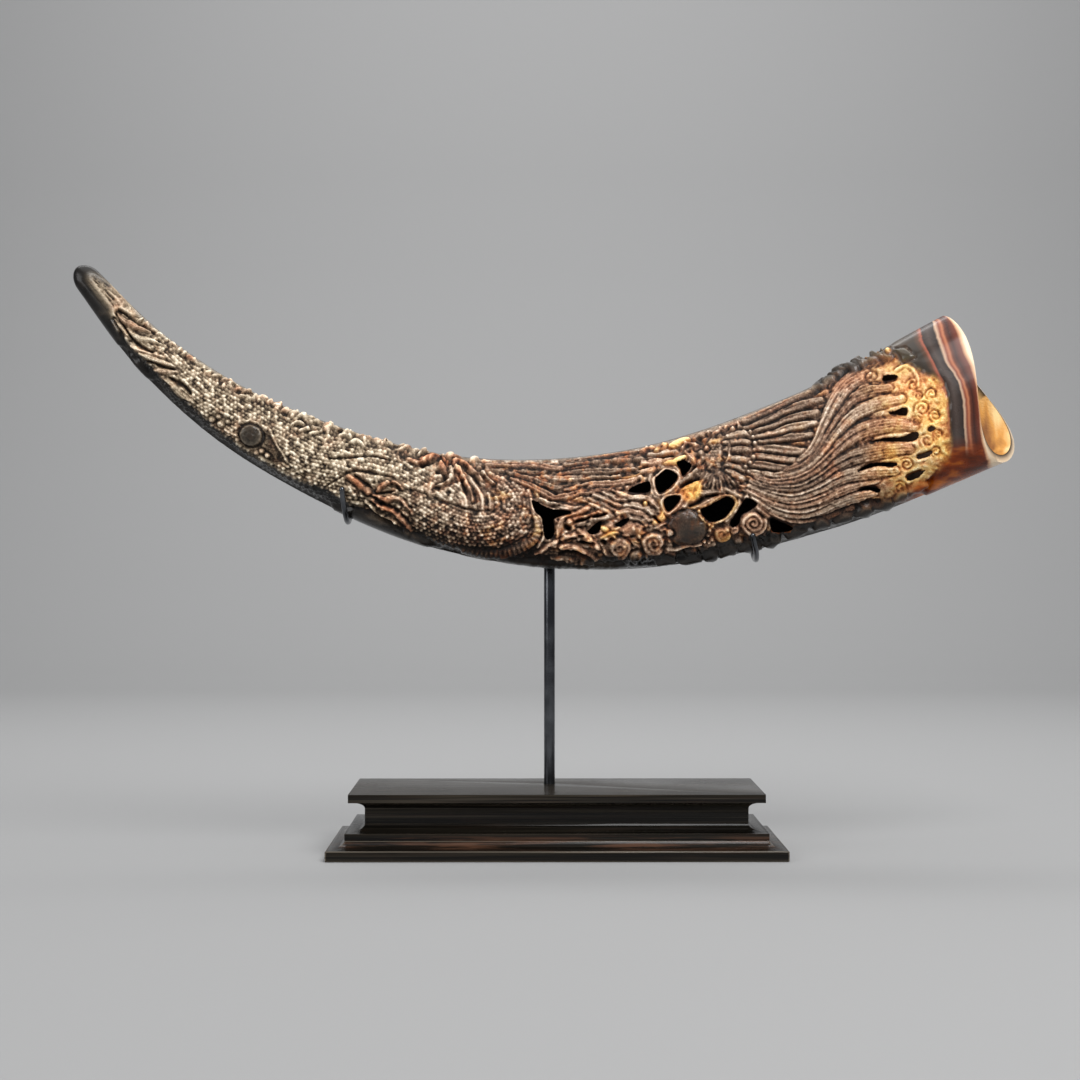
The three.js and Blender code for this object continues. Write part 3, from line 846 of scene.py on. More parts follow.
FEATHER_CUT = dict(low=-1.8, square=3, strakes=1.6, waver=0.16, shade=-0.02, amount=0.35)
RIM_CUT = dict(low=-1.8, outline=0.5, shade=-0.08, amount=0.5)
DEEP_SLIT = -5.5

# Lowest and highest random values of the small shapes
# Fillers: place along the horn, part of its height, turn, reach, bow, width, top and tint
FILLER_RANGE = ((-38, 0, -0.4, 2.5, -0.9, 0.7, -1.5, 0), (176, 1, 0.4, 5.5, 0.9, 1.3, -0.5, 5))
FILLER_TINTS = (None, None, "rust", "rust", "gold")
FILLED_HEIGHT = ((0, 60, 172), (58, 66, 84))
# Bumps along the back: reach and width
BUMP_RANGE = ((2.0, 1.2), (4.5, 2.2))
# Tufts along the upper edge: reach, lift, width, top and tint
TUFT_RANGE = ((1.0, -2.5, 0.8, -0.8, 0), (4.0, 0.8, 1.9, 0.2, 3))
TUFT_TINTS = ("rust", None, None)
# Swells under the tufts: radius and rise
SWELL_RANGE = ((5.0, 1.0), (8.0, 2.2))

# Along the horn, in x: where the ground fades out, how rough it is and where painted shade darkens the
# carving towards its lower edge
TIP_FADE = (-243, -212)
AMBER_START = (165, 190)
AMBER_RISE = 1.9
ROUGH_PLACES = (-240, -100, -30, 95, 110, 165, 215)
ROUGHNESS = (0.3, 0.35, 0.42, 0.55, 0.12, 0.15, 0.2)
CHIP_DEPTH = 0.75
MARK_DEPTH = 0.1
WINDOW_SINK = -4.0
# Painted shade: how much darker the carving is made near its lower edge, where along the horn it starts, and
# how high above the edge it reaches
LOWER_EDGE_PAINTED_SHADE = 0.38
PAINTED_SHADE_START = (-130, -40)
PAINTED_SHADE_REACH = ((-20, 25), (20, 8))
MIDDLE_TONE = 0.53
TONE_SPREAD = 0.3


def fill_ground(sheet, random, lower):
    """Small strands all over the ground, each running as the nearest drawn strand does."""
    paths = [entry[0] for entry in MANE_STRANDS + FORELIMBS + HEAD_STRANDS + WING_FEATHERS + TAIL_FEATHERS]
    curves = [smooth_curve(path, 3.0) for path in paths]
    places = np.vstack([curve[:-1] for curve in curves])
    runs = np.vstack([np.diff(curve, axis=0) for curve in curves])
    runs /= np.hypot(runs[:, 0], runs[:, 1])[:, None]
    for _ in range(FILLER_COUNT):
        x, part, turn, reach, bow, width, top, colour = random.uniform(*FILLER_RANGE)
        start = np.interp(x, lower[:, 0], lower[:, 1])
        middle = np.array((x, start + 2 + part * np.interp(x, *FILLED_HEIGHT)))
        run = runs[np.argmin(np.hypot(*(places - middle).T))]
        run = run * np.cos(turn) + np.array((-run[1], run[0])) * np.sin(turn)
        over = np.array((-run[1], run[0])) * bow
        path = [middle - run * reach, middle + over, middle + run * reach]
        sheet.strand(path, (0.4, width, 0.4), top, tint=FILLER_TINTS[int(colour)], **FILLER_CUT)


def along_edge(path, pitch):
    """Places along an edge, each with the direction along the edge and the one up from it."""
    edge = smooth_curve(path, pitch)
    for place, run in zip(edge, np.gradient(edge, axis=0)):
        run = run / np.hypot(*run)
        yield place, run, np.array((-run[1], run[0]))


def fringe(sheet, random):
    """Small flame-shaped tufts that overlap along the upper edge, some of them standing out from it."""
    for place, run, rise in along_edge(UPPER_EDGE, EDGE_PITCH):
        reach, lift, width, top, colour = random.uniform(*TUFT_RANGE)
        tuft = [place - run * reach - rise * 2.4, place - rise * 0.5, place + run * reach * 0.6 + rise * lift]
        sheet.strand(tuft, (0.6, width, 0.5), top, tint=TUFT_TINTS[int(colour)], **TUFT_CUT)


def lumps(sheet, random, path, pitch, lowest, highest):
    """Long dark lumps, end to end along an edge."""
    for place, run, rise in along_edge(path, pitch):
        reach, bow, width, top = random.uniform((0.45, -1.2, 2.0, lowest), (0.7, 1.2, 3.8, highest))
        lump = [place - run * reach * pitch, place + rise * bow, place + run * reach * pitch]
        sheet.strand(lump, (0.8, width, 0.8), top, **LUMP_CUT)


def sink_ground(sheet, lower):
    """The carved ground, with the tip and the lower band left polished black."""
    outline = np.vstack([lower, smooth_curve(CARVED_RIGHT_EDGE), CARVED_TOP])
    area, inside, across, _ = sheet.area_inside(outline, 3.0, 0.9)
    ground = GROUND + AMBER_RISE * smoothstep(across, *AMBER_START)
    sheet.height[area] = ground * softened(inside, 6) * smoothstep(across, *TIP_FADE)
    sheet.tints["black"][:] = 1
    sheet.tints["black"][area] = 1 - softened(inside, 1)
    area, inside, _, _ = sheet.area_inside(TIP_LEAF, reach=6)
    sheet.tints["black"][area] *= 1 - softened(inside, 5)
    for path in TIP_LINES:
        sheet.groove(path, (0.25, 0.6, 0.25), -1.1, 0.6)


def draw_body(sheet, random, lower):
    """Scales on the ground, the body and the coil, and bumps along the back."""
    sheet.scales(GROUND_PATH, GROUND_HALF, GROUND_PITCH, top=-1.5, low=-2.9, arch=0, edge=False)
    fill_ground(sheet, random, lower)
    sheet.scales(LOW_BODY_PATH, LOW_BODY_HALF, SCALE_PITCH, top=-0.7, low=-2.6, arch=0.6, shade=-0.22)
    sheet.scales(BODY_PATH, BODY_HALF, SCALE_PITCH, low=-2.3, arch=0.9)
    sheet.scales(COIL_PATH, COIL_HALF, SCALE_PITCH, low=-2.3, arch=1.2, waver=0.3, shade=-0.02)
    sheet.ribs(COIL_RIBS, COIL_RIB_HALF, RIB_PITCH)
    sheet.strand(COIL_EDGE, 0.9, low=-2.6)
    for order, (x, z) in enumerate(DORSAL_BUMPS):
        reach, width = random.uniform(*BUMP_RANGE)
        bump = [(x - reach, z - 3.6), (x - 1, z - 1.2), (x + reach * 0.6, z + 0.6)]
        sheet.strand(bump, (0.9, width, 0.7), tint=None if order % 3 else "rust", **BUMP_CUT)


def draw_tail_fin(sheet):
    for order, path in enumerate(TAIL_RIDGES):
        sheet.strand(path, (0.8, 2.2, 2.0, 0.7), tint=("rust", None)[order % 2], **TAIL_CUT)
    for path, widths in TAIL_SLOTS:
        sheet.groove(path, np.multiply(widths, 1.35), -4.0, 0.5)


def draw_body_details(sheet):
    """The dark boss with painted shadow beside and round it, and beads, tufts, spines and creases on the
    body.
    """
    # Painted shadow: the sunk patch beside the boss and a ring round the boss are darkened
    sheet.patch(BOSS_PAINTED_SHADOW, -2.3, shade=-0.26)
    sheet.strand(BOSS_CREASE, 0.6, top=-1.0, shade=-0.1)
    sheet.knob(*BOSS, 7.0, top=-1.9, low=-2.6, shade=-0.42)
    sheet.knob(*BOSS, 6.0, top=-0.6, low=-1.2, tint="black", amount=0.9)
    for x, z, radius in PALE_BEADS:
        sheet.knob(x, z, radius, top=-0.9, shade=-0.1)
    for x, z in RUST_BEADS:
        sheet.knob(x, z, 1.5, top=-0.6, shade=-0.1, tint="rust", amount=0.4)
    for x, z in BODY_TUFTS:
        tuft = [(x - 4, z + 0.5), (x, z + 1.2), (x + 4, z - 1.8)]
        sheet.strand(tuft, (0.6, 1.4, 0.5), top=0.4, waver=1.1, rough=1.0)
    for x, z in BACK_SPINES:
        sheet.strand([(x, z), (x + 6, z * 0.5 + 114.5)], (1.1, 0.6))
    for path, widths in BODY_CREASES:
        sheet.groove(path, widths)


def draw_upper_edge(sheet, random):
    """Tufts along the back, lifted in places so that its outline is uneven."""
    fringe(sheet, random)
    for x, z in DORSAL_BUMPS:
        radius, rise = random.uniform(*SWELL_RANGE)
        sheet.swell(x, z - 1.0, radius, rise)


def draw_legs(sheet):
    for path, widths, tint in LEG_STRANDS:
        sheet.strand(path, np.multiply(widths, 0.92), tint=tint, **LEG_CUT)
    for x, z, radius in LEG_PITS:
        sheet.groove([(x - 0.3, z), (x + 0.3, z)], radius)
    for path in LEG_GAPS:
        sheet.groove(path, (0.4, 1.1, 1.3, 0.4), -4.5, 0.5)


def draw_mane(sheet):
    for path, widths, tint in MANE_STRANDS:
        sheet.strand(path, np.multiply(widths, 1.3), tint=tint, **MANE_CUT)
        sheet.split(path, 0.95, 0.5)
    for path, width in MANE_SLITS:
        sheet.groove(path, width)


def draw_forelimbs(sheet):
    for path, widths, tint in FORELIMBS:
        sheet.strand(path, np.multiply(widths, 1.15), tint=tint, **FORELIMB_CUT)
    for elbow in ELBOWS:
        sheet.knob(*elbow)
    for path, width in FORELIMB_PITS:
        sheet.groove(path, width * 1.25, DEEP_SLIT, 0.4)
    sheet.patch(CLAW_PATCH, -0.9, tint="rust")
    sheet.patch(SMOOTH_PATCH, -1.2, tint="rust", amount=0.8)


def draw_head(sheet):
    for path, widths, tint in HEAD_STRANDS:
        amount = 0.9 if tint == "gold" else 0.5
        sheet.strand(path, np.multiply(widths, 1.35), low=-1.9, strakes=1.7, tint=tint, amount=amount)
    sheet.knob(*DRAGON_EYE, top=0.2, tint="gold")
    for path, widths in HEAD_SLITS:
        sheet.groove(path, np.multiply(widths, 1.2), DEEP_SLIT, 0.4)


def draw_scrolls(sheet):
    """Spiral scrolls along the lower edge, and the dark pearl among them."""
    for x, z, radius, turns, width, start, turn, tint in SCROLLS:
        sheet.curl(x, z, radius, turns, width * 1.15, start, turn, top=-0.5, tint=tint)
    x, z, radius = PEARL
    sheet.knob(x, z, radius, top=0.2, low=-2.4)
    area, away = sheet.round_cells(x, z, radius)
    sheet.tint(area, away < radius, "black", np.clip(0.74 + 0.22 * sheet.nicks[area], 0.45, 1))
    sheet.curl(*PEARL_CURL)
    sheet.strand(PEARL_FOOT, (0.6, 1.0, 0.6))


def draw_phoenix(sheet):
    """The bird's neck, crest and wing, then its long tail."""
    sheet.patch(AMBER_FIELD, -1.0)
    sheet.patch(NECK, -0.8, stipple=0.9, pitch=1.5, shade=-0.2)
    sheet.patch(COLLAR, -0.3, stipple=1.1, pitch=1.8, shade=-0.1)
    for x, z, radius in CREST_KNOBS:
        sheet.knob(x, z, radius, top=-0.4, low=-1.8, shade=-0.16)
    for path, tint in CREST_LUMPS:
        sheet.strand(path, (0.8, 1.7, 0.8), tint=tint, **CREST_CUT)
    for path, width in WING_FEATHERS:
        sheet.strand(path, (width * 0.9, width * 1.2, width * 1.2, width * 0.8), **WING_CUT)
        sheet.split(path, 0.9, 0.2)
    for angle in np.radians(NECK_FAN_ANGLES):
        run = np.array((np.cos(angle), np.sin(angle)))
        path = [NECK_CENTRE + run * mix(*NECK_FAN_REACH, part) for part in (0, 0.5, 1)]
        sheet.strand(path, (0.5, 1.1, 0.7), **FAN_CUT)
    for path in COVERTS:
        sheet.strand(path, (1.2, 2.2, 1.6), **COVERT_CUT)
    sheet.strand(COLLAR_EDGE, (0.4, 0.7, 0.4), top=-0.5, waver=1.0, rough=1.0, shade=-0.05)
    sheet.knob(*PHOENIX_EYE, top=-0.6, tint="rust")
    for path, tint in TAIL_FEATHERS:
        sheet.strand(path, (1.2, 2.0, 2.3, 2.8, 3.8, 4.9, 4.7, 2.6), tint=tint, **FEATHER_CUT)
        sheet.split(path, 0.72, 0.16)
    for x, z, radius in WING_JOINT:
        sheet.knob(x, z, radius, top=0.2, low=-1.6, shade=0.06)
    for path, widths in CHEST_STRANDS:
        sheet.strand(path, widths)
    sheet.knob(*CHEST_KNOB)


def draw_rims(sheet):
    """Raised rims round the largest windows."""
    for number, tint in zip(RIMMED_WINDOWS, ("rust", None, "gold")):
        outline = smooth_curve(WINDOWS[number], 2.0, closed=True)
        out = outline - outline.mean(0)
        rim = outline + out / np.linalg.norm(out, axis=1)[:, None]
        sheet.strand(np.vstack([rim, rim[:1]]), (1.1, 0.5, 1.2, 0.6, 1.1), tint=tint, **RIM_CUT)


def draw_leaves(sheet):
    """Golden leaves, the beads round the pearl, and the warm ends of the tail feathers."""
    sheet.patch(GOLD_LEAF, -0.5, stipple=0.7, pitch=1.2, tint="gold")
    for path, widths in YELLOW_LEAVES:
        sheet.strand(path, widths, top=0, outline=0.6, waver=0.7, tint="gold")
    for x, z in PEARL_BEADS:
        sheet.knob(x, z, 1.0, top=-0.4)
    for path, _ in TAIL_FEATHERS[1:]:
        x, z = path[-1]
        sheet.glow(x - 3, z, 9, "rust", 0.85)


def draw_amber_end(sheet, random):
    """Spiral lines in the amber field, and the dark edges above and below it."""
    for x, z, radius in AMBER_CURLS:
        sheet.spiral(x, z, radius * 1.6, 1.7, x * 7)
    sheet.strand(AMBER_CREST, (0.9, 1.4, 1.3, 0.8), low=-1.6)
    lumps(sheet, random, TOP_EDGE, 9.0, 0.4, 1.4)
    for swell in TOP_SWELLS:
        sheet.swell(*swell)
    area, inside, _, _ = sheet.area_inside(TOP_EDGE + ABOVE_TOP_EDGE, waver=0.9)
    sheet.tint(area, inside, "black", 0.97)
    for x, z, radius in PALE_DOTS:
        sheet.knob(x, z, radius, top=1.0, low=-0.5)
        area, away = sheet.round_cells(x, z, radius)
        sheet.tint(area, away < radius, "black", 0.0)
    lumps(sheet, random, LOW_EDGE, 10.0, 0.8, 2.2)
    area, inside, _, _ = sheet.area_inside(DARK_EDGE + BELOW_DARK_EDGE, waver=1.4)
    sheet.tint(area, inside, "black", 0.98)


def sink_windows(sheet):
    """Lower the surface inside the outlines of the windows."""
    for outline in WINDOWS:
        area, inside, _, _ = sheet.area_inside(smooth_curve(outline, closed=True))
        soft = softened(inside, 2)
        field = sheet.height[area]
        field[:] = np.minimum(field, WINDOW_SINK * soft + field * (1 - soft))


def leave_chisel_marks(sheet):
    """Soften the cuts a little, then chip and mark what is carved, and make the tints uneven."""
    carved = smoothstep(-sheet.height, 0.1, 0.6)
    chips = np.clip(sheet.nicks - 1, 0, 1.3) - np.clip(-sheet.nicks - 0.8, 0, 1.6)
    rough = np.interp(sheet.x, ROUGH_PLACES, ROUGHNESS)
    rough = CHIP_DEPTH * np.maximum(rough, sheet.rough) * (1 - sheet.tints["black"])
    marks = MARK_DEPTH * sheet.grit + MARK_DEPTH * sheet.nicks + rough * chips
    sheet.height = blurred(sheet.height, 1) + carved * marks
    sheet.tints["rust"] *= np.clip(0.75 + 0.5 * sheet.wander[1], 0.1, 1)
    for name in sheet.tints:
        sheet.tints[name] = blurred(sheet.tints[name], 2)


def set_tone(sheet, lower):
    """Tone: how high each place stands among its neighbours, recesses darker partly as painted shade, and
    darker towards the lower edge as painted shade.
    """
    broad = blurred(sheet.height, 7)
    spread = np.sqrt(blurred((sheet.height - broad) ** 2, 9) + 0.15)
    # Painted shade along the lower edge of the carving, fading in along the horn and out before the amber
    above = sheet.z[:, None] - np.interp(sheet.x, lower[:, 0], lower[:, 1])[None, :]
    reach = np.interp(sheet.x, *PAINTED_SHADE_REACH)
    painted_shade = LOWER_EDGE_PAINTED_SHADE * (1 - smoothstep(above, 0, reach)) * smoothstep(sheet.x, *PAINTED_SHADE_START)
    painted_shade = painted_shade * (1 - smoothstep(sheet.x, *AMBER_START))
    # Raised places lighter and recesses darker: partly real wear, partly painted shade
    tone = MIDDLE_TONE + TONE_SPREAD * (sheet.height - broad) / spread + sheet.shade - painted_shade
    sheet.tone = np.clip(tone, 0, 1)


def draw_carving():
    """The whole carved side; what is drawn later lies over what is drawn before."""
    sheet = Sheet()
    random = np.random.default_rng(FILLER_SEED)
    lower = smooth_curve(CARVED_LOWER_EDGE)
    sink_ground(sheet, lower)
    draw_body(sheet, random, lower)
    draw_tail_fin(sheet)
    draw_body_details(sheet)
    draw_upper_edge(sheet, random)
    draw_legs(sheet)
    draw_mane(sheet)
    draw_forelimbs(sheet)
    draw_head(sheet)
    draw_scrolls(sheet)
    draw_phoenix(sheet)
    draw_rims(sheet)
    draw_leaves(sheet)
    draw_amber_end(sheet, random)
    sink_windows(sheet)
    leave_chisel_marks(sheet)
    set_tone(sheet, lower)
    return sheet


# Horn

def middle_line(shares):
    """Place and direction on the horn's middle line at shares of its length, as (x, z), and that length."""
    curve = smooth_curve(MIDDLE_LINE, 0.4)
    steps = np.hypot(*np.diff(curve, axis=0).T)
    run = np.concatenate([[0], np.cumsum(steps)])
    at = np.asarray(shares) * run[-1]
    place = np.stack([np.interp(at, run, curve[:, axis]) for axis in (0, 1)], 1)
    slope = np.stack([np.interp(at, run, np.gradient(curve[:, axis], run)) for axis in (0, 1)], 1)
    slope /= np.hypot(slope[:, 0], slope[:, 1])[:, None]
    return place, slope, run[-1]


def horn_sizes(shares):
    """Half height and half depth of the horn at shares of its length."""
    height = mix(TIP_HEIGHT, MOUTH_HEIGHT, shares) + BELLY_SWELL * np.sin(np.pi * shares)
    return height / 2, height / 2 * mix(TIP_DEPTH_RATIO, MOUTH_DEPTH_RATIO, shares)


def round_end(distance, reach):
    left = np.clip(1 - distance / reach, 0, 1)
    return np.sqrt(1 - left * left)


def horn_rings(shares, angles, wall, dome):
    """Rings of points round the horn: angle 0 is the top edge, a quarter turn is the back."""
    place, along, _ = middle_line(shares)
    half_height, half_depth = horn_sizes(shares)
    rise = np.cos(angles)[None, :]
    y = ((half_depth - wall) * dome)[:, None] * np.sin(angles) * (1 - TOP_NARROWING * rise)
    lift = ((half_height - wall) * dome)[:, None] * rise
    fade = smoothstep(shares, RIM_FADE_START, 1)[:, None]
    corner = RIM_CORNER * np.maximum(rise, 0) ** 3
    turn = fade * (RIM_TURN * y * (1 - RIM_TWIST * rise) - RIM_LEAN * (1 - rise) - corner)
    x = place[:, :1] - along[:, 1:] * lift + along[:, :1] * turn
    z = place[:, 1:] + along[:, :1] * lift + along[:, 1:] * turn
    return np.stack([x, HORN_Y + y, z], -1)


def outward_normals(rings):
    forward = np.gradient(rings, axis=0)
    wrapped = np.concatenate([rings[:, -1:], rings, rings[:, :1]], 1)
    around = (wrapped[:, 2:] - wrapped[:, :-2]) / 2
    normals = np.cross(around, forward)
    length = np.linalg.norm(normals, axis=-1, keepdims=True)
    return -normals / np.maximum(length, 1e-9)


def seen_from_eye(points):
    """Where points appear on the upright plane through the horn's axis, as x and z."""
    reach = (HORN_Y - EYE[1]) / (points[..., 1] - EYE[1])
    return EYE[0] + (points[..., 0] - EYE[0]) * reach, EYE[2] + (points[..., 2] - EYE[2]) * reach


def wrapped_over(rings, turned, along):
    """Places on the sheet for rings of points: as seen from the eye, but laid round the upper edge."""
    across, up = seen_from_eye(rings)
    seen = np.stack([across, up], -1)
    middle = FRONT_COLUMNS // 2
    steps = np.diff(seen[:, middle:], axis=1)
    lengths = np.linalg.norm(np.diff(rings[:, middle:], axis=1), axis=-1, keepdims=True)
    upwards = np.stack([-along[:, 1], along[:, 0]], -1)[:, None, :]
    round_edge = 1 - smoothstep(turned[:, middle + 1:], *EDGE_TURN)[..., None]
    laid = np.cumsum(mix(steps, upwards * lengths, round_edge), axis=1)
    seen[:, middle + 1:] = seen[:, middle:middle + 1] + laid
    return seen[..., 0], seen[..., 1]


def loft_mesh(name, rings):
    """A closed mesh over rings of points in millimetres, with a fan over each end."""
    count, sides = rings.shape[:2]
    points = np.vstack([rings.reshape(-1, 3), rings[0].mean(0), rings[-1].mean(0)]) * MM
    ring = np.arange(count - 1)[:, None] * sides
    side = np.arange(sides)[None, :]
    after = (side + 1) % sides
    quads = np.stack([ring + side, ring + sides + side, ring + sides + after, ring + after], -1)
    first, last = count * sides, count * sides + 1
    near, far = np.arange(sides), (count - 1) * sides + np.arange(sides)
    fans = np.vstack([
        np.stack([np.full(sides, first), near, np.roll(near, -1)], 1),
        np.stack([np.full(sides, last), np.roll(far, -1), far], 1),
    ])
    return mesh_from(name, points, [quads.reshape(-1, 4), fans])


def mesh_from(name, points, face_sets):
    """A mesh object from an array of points and arrays of faces, one array for each number of corners."""
    mesh = bpy.data.meshes.new(name)
    mesh.vertices.add(len(points))
    mesh.vertices.foreach_set("co", np.asarray(points, np.float32).ravel())
    corners = np.concatenate([faces.ravel() for faces in face_sets]).astype(np.int32)
    sizes = np.concatenate([np.full(len(faces), faces.shape[1]) for faces in face_sets]).astype(np.int32)
    mesh.loops.add(len(corners))
    mesh.loops.foreach_set("vertex_index", corners)
    mesh.polygons.add(len(sizes))
    starts = np.concatenate([[0], np.cumsum(sizes)[:-1]]).astype(np.int32)
    mesh.polygons.foreach_set("loop_start", starts)
    mesh.update(calc_edges=True)
    mesh.validate()
    piece = bpy.data.objects.new(name, mesh)
    bpy.context.scene.collection.objects.link(piece)
    return piece


def set_values(piece, name, values):
    layer = piece.data.attributes.new(name, "FLOAT", "POINT")
    layer.data.foreach_set("value", np.asarray(values, np.float32).ravel())


def set_everywhere(piece, value, *names):
    for name in names:
        set_values(piece, name, np.full(len(piece.data.vertices), value))


def pick(piece):
    """Select one object alone and make it active."""
    bpy.ops.object.select_all(action="DESELECT")
    piece.select_set(True)
    bpy.context.view_layer.objects.active = piece


def face_outwards():
    """Turn all faces of the mesh being edited outwards, and leave its editing."""
    bpy.ops.mesh.select_all(action="SELECT")
    bpy.ops.mesh.normals_make_consistent(inside=False)
    bpy.ops.object.mode_set(mode="OBJECT")


def cut_away(piece, cutter):
    """Take a cutter's shape out of a piece, and remove the cutter."""
    cut = piece.modifiers.new("Cut", "BOOLEAN")
    cut.operation = "DIFFERENCE"
    cut.solver = "MANIFOLD"
    cut.object = cutter
    before = len(piece.data.polygons)
    pick(piece)
    bpy.ops.object.modifier_apply(modifier=cut.name)
    if len(piece.data.polygons) == before:
        raise RuntimeError(f"{cutter.name} took nothing out of {piece.name}")
    bpy.data.objects.remove(cutter)


def carved_skin(sheet):
    """The horn's outer skin with the carving pressed into its front."""
    _, _, length = middle_line(np.array([0.0]))
    dome_rows = np.linspace(0.02, 1, TIP_ROWS) ** 2 * TIP_DOME
    shares = np.concatenate([dome_rows / length, np.linspace(TIP_DOME / length, 1, HORN_ROWS)[1:]])
    front = np.linspace(FRONT_START, FRONT_END, FRONT_COLUMNS, endpoint=False)
    back = np.linspace(FRONT_END, BACK_END, BACK_COLUMNS, endpoint=False)
    angles = np.concatenate([front, back])
    smooth = horn_rings(shares, angles, 0.0, round_end(shares * length, TIP_DOME))
    normals = outward_normals(smooth)
    sight = smooth - EYE
    sight /= np.linalg.norm(sight, axis=-1, keepdims=True)
    turned = -(normals * sight).sum(-1)
    facing = smoothstep(turned, *CARVED_TURN)
    across, up = wrapped_over(smooth, turned, middle_line(shares)[1])
    depth = sheet.sample(sheet.height, across, up) * facing
    piece = loft_mesh("carved_horn", smooth + normals * depth[..., None])
    to_mouth = np.repeat((1 - shares)[:, None] * length, len(angles), 1)
    for name, value in skin_values(sheet, across, up, facing, to_mouth).items():
        ends = [value[0].mean(), value[-1].mean()]
        set_values(piece, name, np.concatenate([value.ravel(), ends]))
    return piece


def skin_values(sheet, across, up, facing, to_mouth):
    """What the material reads from the skin: tints, tone, and distances in millimetres from the bands."""
    values = {name: sheet.sample(layer, across, up) for name, layer in sheet.tints.items()}
    values["black"] = mix(1.0, values["black"], facing)
    values["rust"] = values["rust"] * facing
    values["gold"] = values["gold"] * facing
    tone = mix(1.0, sheet.sample(sheet.tone, across, up), facing)
    values["relief"] = tone + AMBER_LIGHT * smoothstep(across, *LIGHT_PLACES) * facing
    values["amber"] = smoothstep(across, *AMBER_PLACES) * facing
    values["to_mouth"] = to_mouth
    for (name, curve), distance in zip(BAND_CURVES.items(), BAND_DISTANCES):
        values[name] = mix(to_mouth - distance, curve_x(curve, up) - across, facing)
    values["inside"] = np.zeros(across.shape)
    return values


def curve_x(points, up):
    """Where a curve drawn down the sheet lies at given heights."""
    curve = smooth_curve(points)[::-1]
    return np.interp(up, curve[:, 1], curve[:, 0])


def hollow_cutter():
    """The hollow's shape, run on past the mouth."""
    _, _, length = middle_line(np.array([0.0]))
    part = ((np.arange(HOLLOW_ROWS + 1) + 0.2) / (HOLLOW_ROWS + 0.2)) ** HOLLOW_CROWDING
    shares = mix(HOLLOW_START, 1, part)
    dome = round_end((shares - HOLLOW_START) * length, HOLLOW_DOME)
    angles = np.linspace(0, 2 * math.pi, HOLLOW_COLUMNS, endpoint=False)
    rings = horn_rings(shares, angles, mix(WALL_AT_START, WALL_AT_MOUTH, part), dome)
    _, along, _ = middle_line(np.array([1.0]))
    outwards = np.array((along[0, 0], 0, along[0, 1])) * PAST_MOUTH
    rings = np.concatenate([rings, rings[-1:] + outwards])
    cutter = loft_mesh("hollow", rings)
    to_mouth = np.append((1 - shares) * length, 0)
    set_values(cutter, "to_mouth", np.append(np.repeat(to_mouth, HOLLOW_COLUMNS), (to_mouth[0], 0)))
    set_everywhere(cutter, 1.0, "inside")
    set_everywhere(cutter, 0.0, *PLAIN_VALUES)
    return cutter


def window_cutter():
    """All pierced windows as one mesh of wedges along the lines of sight."""
    points, faces = [], {}
    for outline in WINDOWS:
        outline = smooth_curve(outline, closed=True)
        turn = outline - np.roll(outline, 1, 0)
        if np.cross(turn, np.roll(turn, -1, 0)).sum() > 0:
            outline = outline[::-1]
        base = len(points)
        count = len(outline)
        for y in (WINDOW_NEAR_Y, WINDOW_FAR_Y):
            reach = (y - EYE[1]) / (HORN_Y - EYE[1])
            for x, z in outline:
                points.append((EYE[0] + (x - EYE[0]) * reach, y, EYE[2] + (z - EYE[2]) * reach))
        for side in range(count):
            after = (side + 1) % count
            corners = (side, after, count + after, count + side)
            faces.setdefault(4, []).append([base + corner for corner in corners])
        faces.setdefault(count, []).append([base + count - 1 - side for side in range(count)])
        faces.setdefault(count, []).append([base + count + side for side in range(count)])
    cutter = mesh_from("windows", np.array(points) * MM, [np.array(group) for group in faces.values()])
    pick(cutter)
    bpy.ops.object.mode_set(mode="EDIT")
    face_outwards()
    set_everywhere(cutter, 0.0, *PLAIN_VALUES, "inside")
    set_everywhere(cutter, FAR_FROM_MOUTH, "to_mouth")
    return cutter


def finish_piece(piece, node, slot, *materials):
    """Give a piece its finish, attach it to the root, and hide the node part that it stands for."""
    piece.data.materials.clear()
    for material in materials:
        piece.data.materials.append(material)
    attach(piece, "root")
    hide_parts(node)


# Materials

def add_node(tree, kind, inputs=(), **settings):
    """A node with its settings made and its inputs set or linked."""
    made = tree.nodes.new(kind)
    for name, value in settings.items():
        setattr(made, name, value)
    for name, value in dict(inputs).items():
        if isinstance(value, bpy.types.NodeSocket):
            tree.links.new(value, made.inputs[name])
        else:
            made.inputs[name].default_value = value
    return made


def blend(tree, share, first, second):
    """Mix two colours."""
    return add_node(tree, "ShaderNodeMix", {0: share, 6: first, 7: second}, data_type="RGBA").outputs[2]


def between(tree, value, low, high, start=0.0, end=1.0):
    """A value eased from start to end as another goes from low to high."""
    made = add_node(
        tree, "ShaderNodeMapRange",
        {"Value": value, "From Min": low, "From Max": high, "To Min": start, "To Max": end},
        interpolation_type="SMOOTHSTEP",
    )
    return made.outputs["Result"]


def calculate(tree, operation, first, second, third=0.0):
    return add_node(tree, "ShaderNodeMath", {0: first, 1: second, 2: third}, operation=operation).outputs[0]


def times(tree, first, second):
    return calculate(tree, "MULTIPLY", first, second)


def kept_within(tree, value):
    """A value held between 0 and 1."""
    return add_node(tree, "ShaderNodeClamp", {"Value": value}).outputs[0]


def around_zero(tree, value, spread):
    """A value from 0 to 1 spread evenly to both sides of 0."""
    return calculate(tree, "MULTIPLY_ADD", value, spread, -spread / 2)


def mix_value(tree, share, start, end):
    """A value from start to end by a share."""
    return calculate(tree, "MULTIPLY_ADD", share, end - start, start)


def share_of(tree, past_first, past_second):
    """How far a place lies from a first line to a second, from 0 to 1, by its distances past both."""
    width = calculate(tree, "MAXIMUM", calculate(tree, "SUBTRACT", past_first, past_second), 0.1)
    return kept_within(tree, calculate(tree, "DIVIDE", past_first, width))


